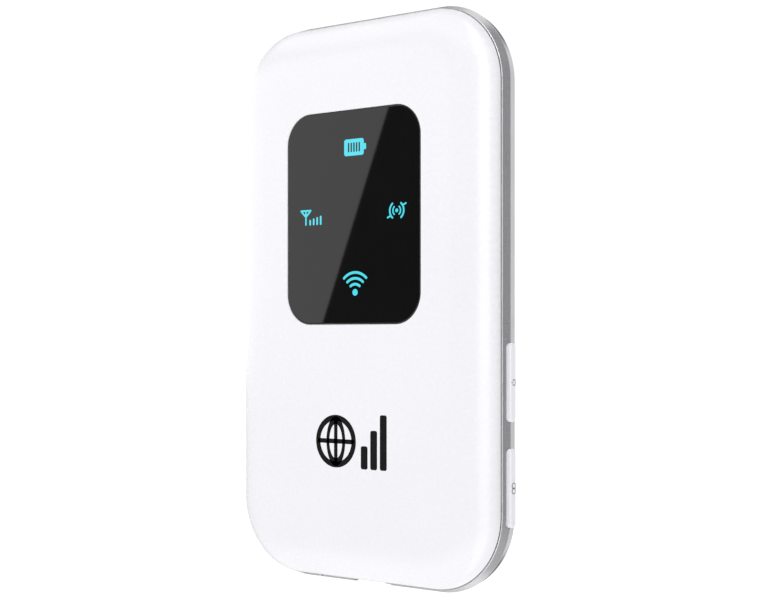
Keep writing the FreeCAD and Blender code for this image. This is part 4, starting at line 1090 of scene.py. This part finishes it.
def add_piece(piece, body, slot, material=None):
    """Let a piece ride on a body, with the slot's material or its own."""
    assign(piece, material or MATERIALS[slot])
    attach(piece, body)


def add_visible_nodes():
    """The finer shells, frame, window and buttons that stand for CAD nodes."""
    finer = ((make_front_cover(), "front_cover", "case", "white_shell"),
             (make_battery_cover(), "battery_cover", "battery_cover", "white_shell"),
             (make_middle_frame(), "middle_frame", "case", "silver_frame"),
             (make_window(), "display_window", "case", "smoked_window"),
             (make_button("power_button", "power_key"), "power_button", "power_button", "white_button"),
             (make_button("pairing_button", "pairing_key"), "pairing_button", "pairing_button",
              "white_button"))
    for piece, node, body, slot in finer:
        add_piece(piece, body, slot)
        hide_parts(node)


def add_symbols():
    """The lit symbols in the window and the printed ones on the front and the buttons."""
    cyan = new_material("lit_symbol", lit_symbol)
    lit = (("battery_symbol", battery_symbol()), ("signal_symbol", signal_symbol()),
           ("data_symbol", data_symbol()), ("wireless_symbol", wireless_symbol()))
    for name, shapes in lit:
        add_piece(make_symbol(name, shapes, on_window), "case", "milky_diffuser", cyan)
    black = new_material("black_ink", printed_ink, (0.002, 0.002, 0.002), (0.005, 0.005, 0.005))
    add_piece(make_symbol("network_mark", network_mark(), on_face), "case", "dark_film", black)
    grey = new_material("grey_ink", printed_ink, (0.16, 0.16, 0.16), (0.22, 0.22, 0.22))
    for button, name, shapes in (("power_button", "power_symbol", power_symbol()),
                                 ("pairing_button", "pairing_symbol", pairing_symbol())):
        add_piece(make_symbol(name, shapes, on_button(button)), button, "dark_film", grey)


# ---------------- floor, light and camera

CAMERA_PLACE = Vector((171.9, -214.2, -6.1))
CAMERA_TURN = 39.45
CAMERA_LENS = 73.2
CAMERA_RISE = 0.047
FLOOR_SIZE = 3000.0
FLOOR_GAP = 0.02
WHITE = rgba((1, 1, 1))
WINDOW_STREAK = ((8.2, 32.5), (-6.7, -4.0))     # two points (x, z) of the light's edge in the window

# The studio's lights are directions: a turn in degrees, 0 to the front and 90 to the right, with a soft
# end on either side. Mirror-like surfaces see these lights, and matt ones a plain even light.
SOFT = 4
RIGHT_CARD = (22, 60, 3)
LEFT_CARD = (-130, -30, SOFT)
DARK_GAP = (-162, -118, SOFT)
BESIDE = (62, 78)
BEHIND = (141, 151)


def compass(tree, to_right, to_front):
    """Direction in degrees: 0 to the front, 90 to the right."""
    return times(tree, calc(tree, "ARCTAN2", to_right, to_front), 180 / math.pi)


def turned_past(tree, turn, ends):
    """1 in directions turned away from the front by more than ends, on either side."""
    return smooth_step(tree, calc(tree, "ABSOLUTE", turn), *ends)


def seen_as(tree, diffuse, mirrored, direct):
    """Level of a light as matt surfaces, mirror-like surfaces and the camera see it."""
    rays = add_node(tree, "ShaderNodeLightPath").outputs
    level = mix_value(tree, rays["Is Glossy Ray"], diffuse, mirrored)
    return mix_value(tree, rays["Is Camera Ray"], level, direct)


def floor_glow(tree):
    """Level of the floor, in its own mirror image as well."""
    seen = add_node(tree, "ShaderNodeNewGeometry").outputs
    to_left, to_front, steep = axes(tree, seen["Incoming"])
    turn = compass(tree, times(tree, to_left, -1.0), to_front)
    along_y = axes(tree, seen["Position"])[1]
    lit = times(tree, smooth_step(tree, steep, 0.3, 0.6), smooth_step(tree, along_y, -0.002, -0.02))
    below = times(tree, smooth_step(tree, steep, 0.5, 0.65), smooth_step(tree, to_left, -0.15, 0.05))
    mirrored = add_parts(tree, 0.4, ((lit, 1.1), (card(tree, turn, *RIGHT_CARD), 2.0), (below, 0.2),
                                     (smooth_step(tree, steep, 0.15, 0.35), 0.12),
                                     (turned_past(tree, turn, BEHIND), 0.45)))
    hollow = times(tree, card(tree, turn, -160, -118, SOFT), smooth_step(tree, steep, 0.5, 0.35))
    return seen_as(tree, 1.05, mix_value(tree, hollow, mirrored, 0.2), 1.15)


def pale_floor(tree):
    """Plain pale floor that is almost all light, so that it shows no hard shadow."""
    pale = principled(tree, Base_Color=rgba((0.9, 0.9, 0.9)), Roughness=0.9)
    glow = add_node(tree, "ShaderNodeEmission", {"Color": WHITE, "Strength": floor_glow(tree)}).outputs[0]
    return add_node(tree, "ShaderNodeMixShader", {0: 0.95, 1: pale, 2: glow}).outputs[0]


def make_floor():
    """Wide pale floor just below the object."""
    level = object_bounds()[0][2] / MM - FLOOR_GAP
    half = FLOOR_SIZE / 2
    outline = ((-half, -half), (half, -half), (half, half), (-half, half))
    mesh = bpy.data.meshes.new("floor")
    mesh.from_pydata([(x * MM, y * MM, level * MM) for x, y in outline], [], [(0, 1, 2, 3)])
    floor = bpy.data.objects.new("floor", mesh)
    bpy.context.scene.collection.objects.link(floor)
    assign(floor, new_material("pale_floor", pale_floor))


def streak_normal():
    """Normal of the plane through the mirrored camera and the streak's edge on the window."""
    mirrored = Vector((CAMERA_PLACE.x, -2 * WINDOW_FACE - CAMERA_PLACE.y, CAMERA_PLACE.z))
    ends = [Vector((x, -WINDOW_FACE, z)) - mirrored for x, z in WINDOW_STREAK]
    return ends[0].cross(ends[1]).normalized()


def mirrored_studio(tree, ray):
    """Level that mirror-like surfaces see: a card on either side, a light overhead and the walls."""
    to_right, to_back, up = axes(tree, ray)
    to_front = times(tree, to_back, -1.0)
    turn = compass(tree, to_right, to_front)
    left_of_streak = smooth_step(tree, dot_product(tree, ray, streak_normal()), 0.0008, -0.0008)
    left_card = times(tree, left_of_streak, smooth_step(tree, up, 0.42, 0.28), card(tree, turn, *LEFT_CARD))
    high = smooth_step(tree, up, 0.48, 0.62)
    in_front = smooth_step(tree, to_front, -0.1, 0.1)
    overhead = times(tree, high, in_front)
    overhead_left = times(tree, high, smooth_step(tree, to_right, 0.15, -0.05),
                          calc(tree, "SUBTRACT", 1.0, in_front))
    walls = add_parts(tree, 0.0, ((turned_past(tree, turn, BESIDE), 0.34),
                                  (turned_past(tree, turn, BEHIND), 0.5)))
    low = times(tree, smooth_step(tree, up, 0.05, 0.14), smooth_step(tree, up, 0.6, 0.45))
    outside_gap = calc(tree, "SUBTRACT", 1.0, times(tree, card(tree, turn, *DARK_GAP), low))
    return add_parts(tree, 0.07, ((card(tree, turn, *RIGHT_CARD), 3.6), (left_card, 1.25), (overhead, 1.2),
                                  (overhead_left, 0.25), (outside_gap, walls)))


def even_light(tree, ray):
    """Level that matt surfaces see: soft, and a little brighter from the front."""
    frontal = smooth_step(tree, times(tree, axes(tree, ray)[1], -1.0), -1.0, 0.6)
    return add_parts(tree, 0.49, [(frontal, 0.55)])


def make_world():
    """Soft white studio."""
    world = bpy.data.worlds.new("studio")
    bpy.context.scene.world = world
    world.use_nodes = True
    if hasattr(world, "cycles"):
        world.cycles.sampling_method = "NONE"
    tree = world.node_tree
    tree.nodes.clear()
    ray = add_node(tree, "ShaderNodeTexCoord").outputs["Generated"]
    level = seen_as(tree, even_light(tree, ray), mirrored_studio(tree, ray), 1.03)
    background = add_node(tree, "ShaderNodeBackground", {"Color": WHITE, "Strength": level})
    output = tree.nodes.new("ShaderNodeOutputWorld")
    tree.links.new(background.outputs[0], output.inputs["Surface"])


def make_camera():
    """Camera in front and to the right of the case, at mid height."""
    data = bpy.data.cameras.new("camera")
    data.lens = CAMERA_LENS
    data.sensor_width = 36.0
    data.shift_y = CAMERA_RISE
    data.clip_start = 0.01
    camera = bpy.data.objects.new("camera", data)
    camera.location = CAMERA_PLACE * MM
    camera.rotation_euler = (math.radians(90), 0, math.radians(CAMERA_TURN))
    bpy.context.scene.collection.objects.link(camera)
    bpy.context.scene.camera = camera


dress_cad_nodes()
add_visible_nodes()
add_symbols()
make_floor()
make_world()
make_camera()
bpy.context.scene.view_settings.view_transform = "Standard"     # a white stays the white it is given
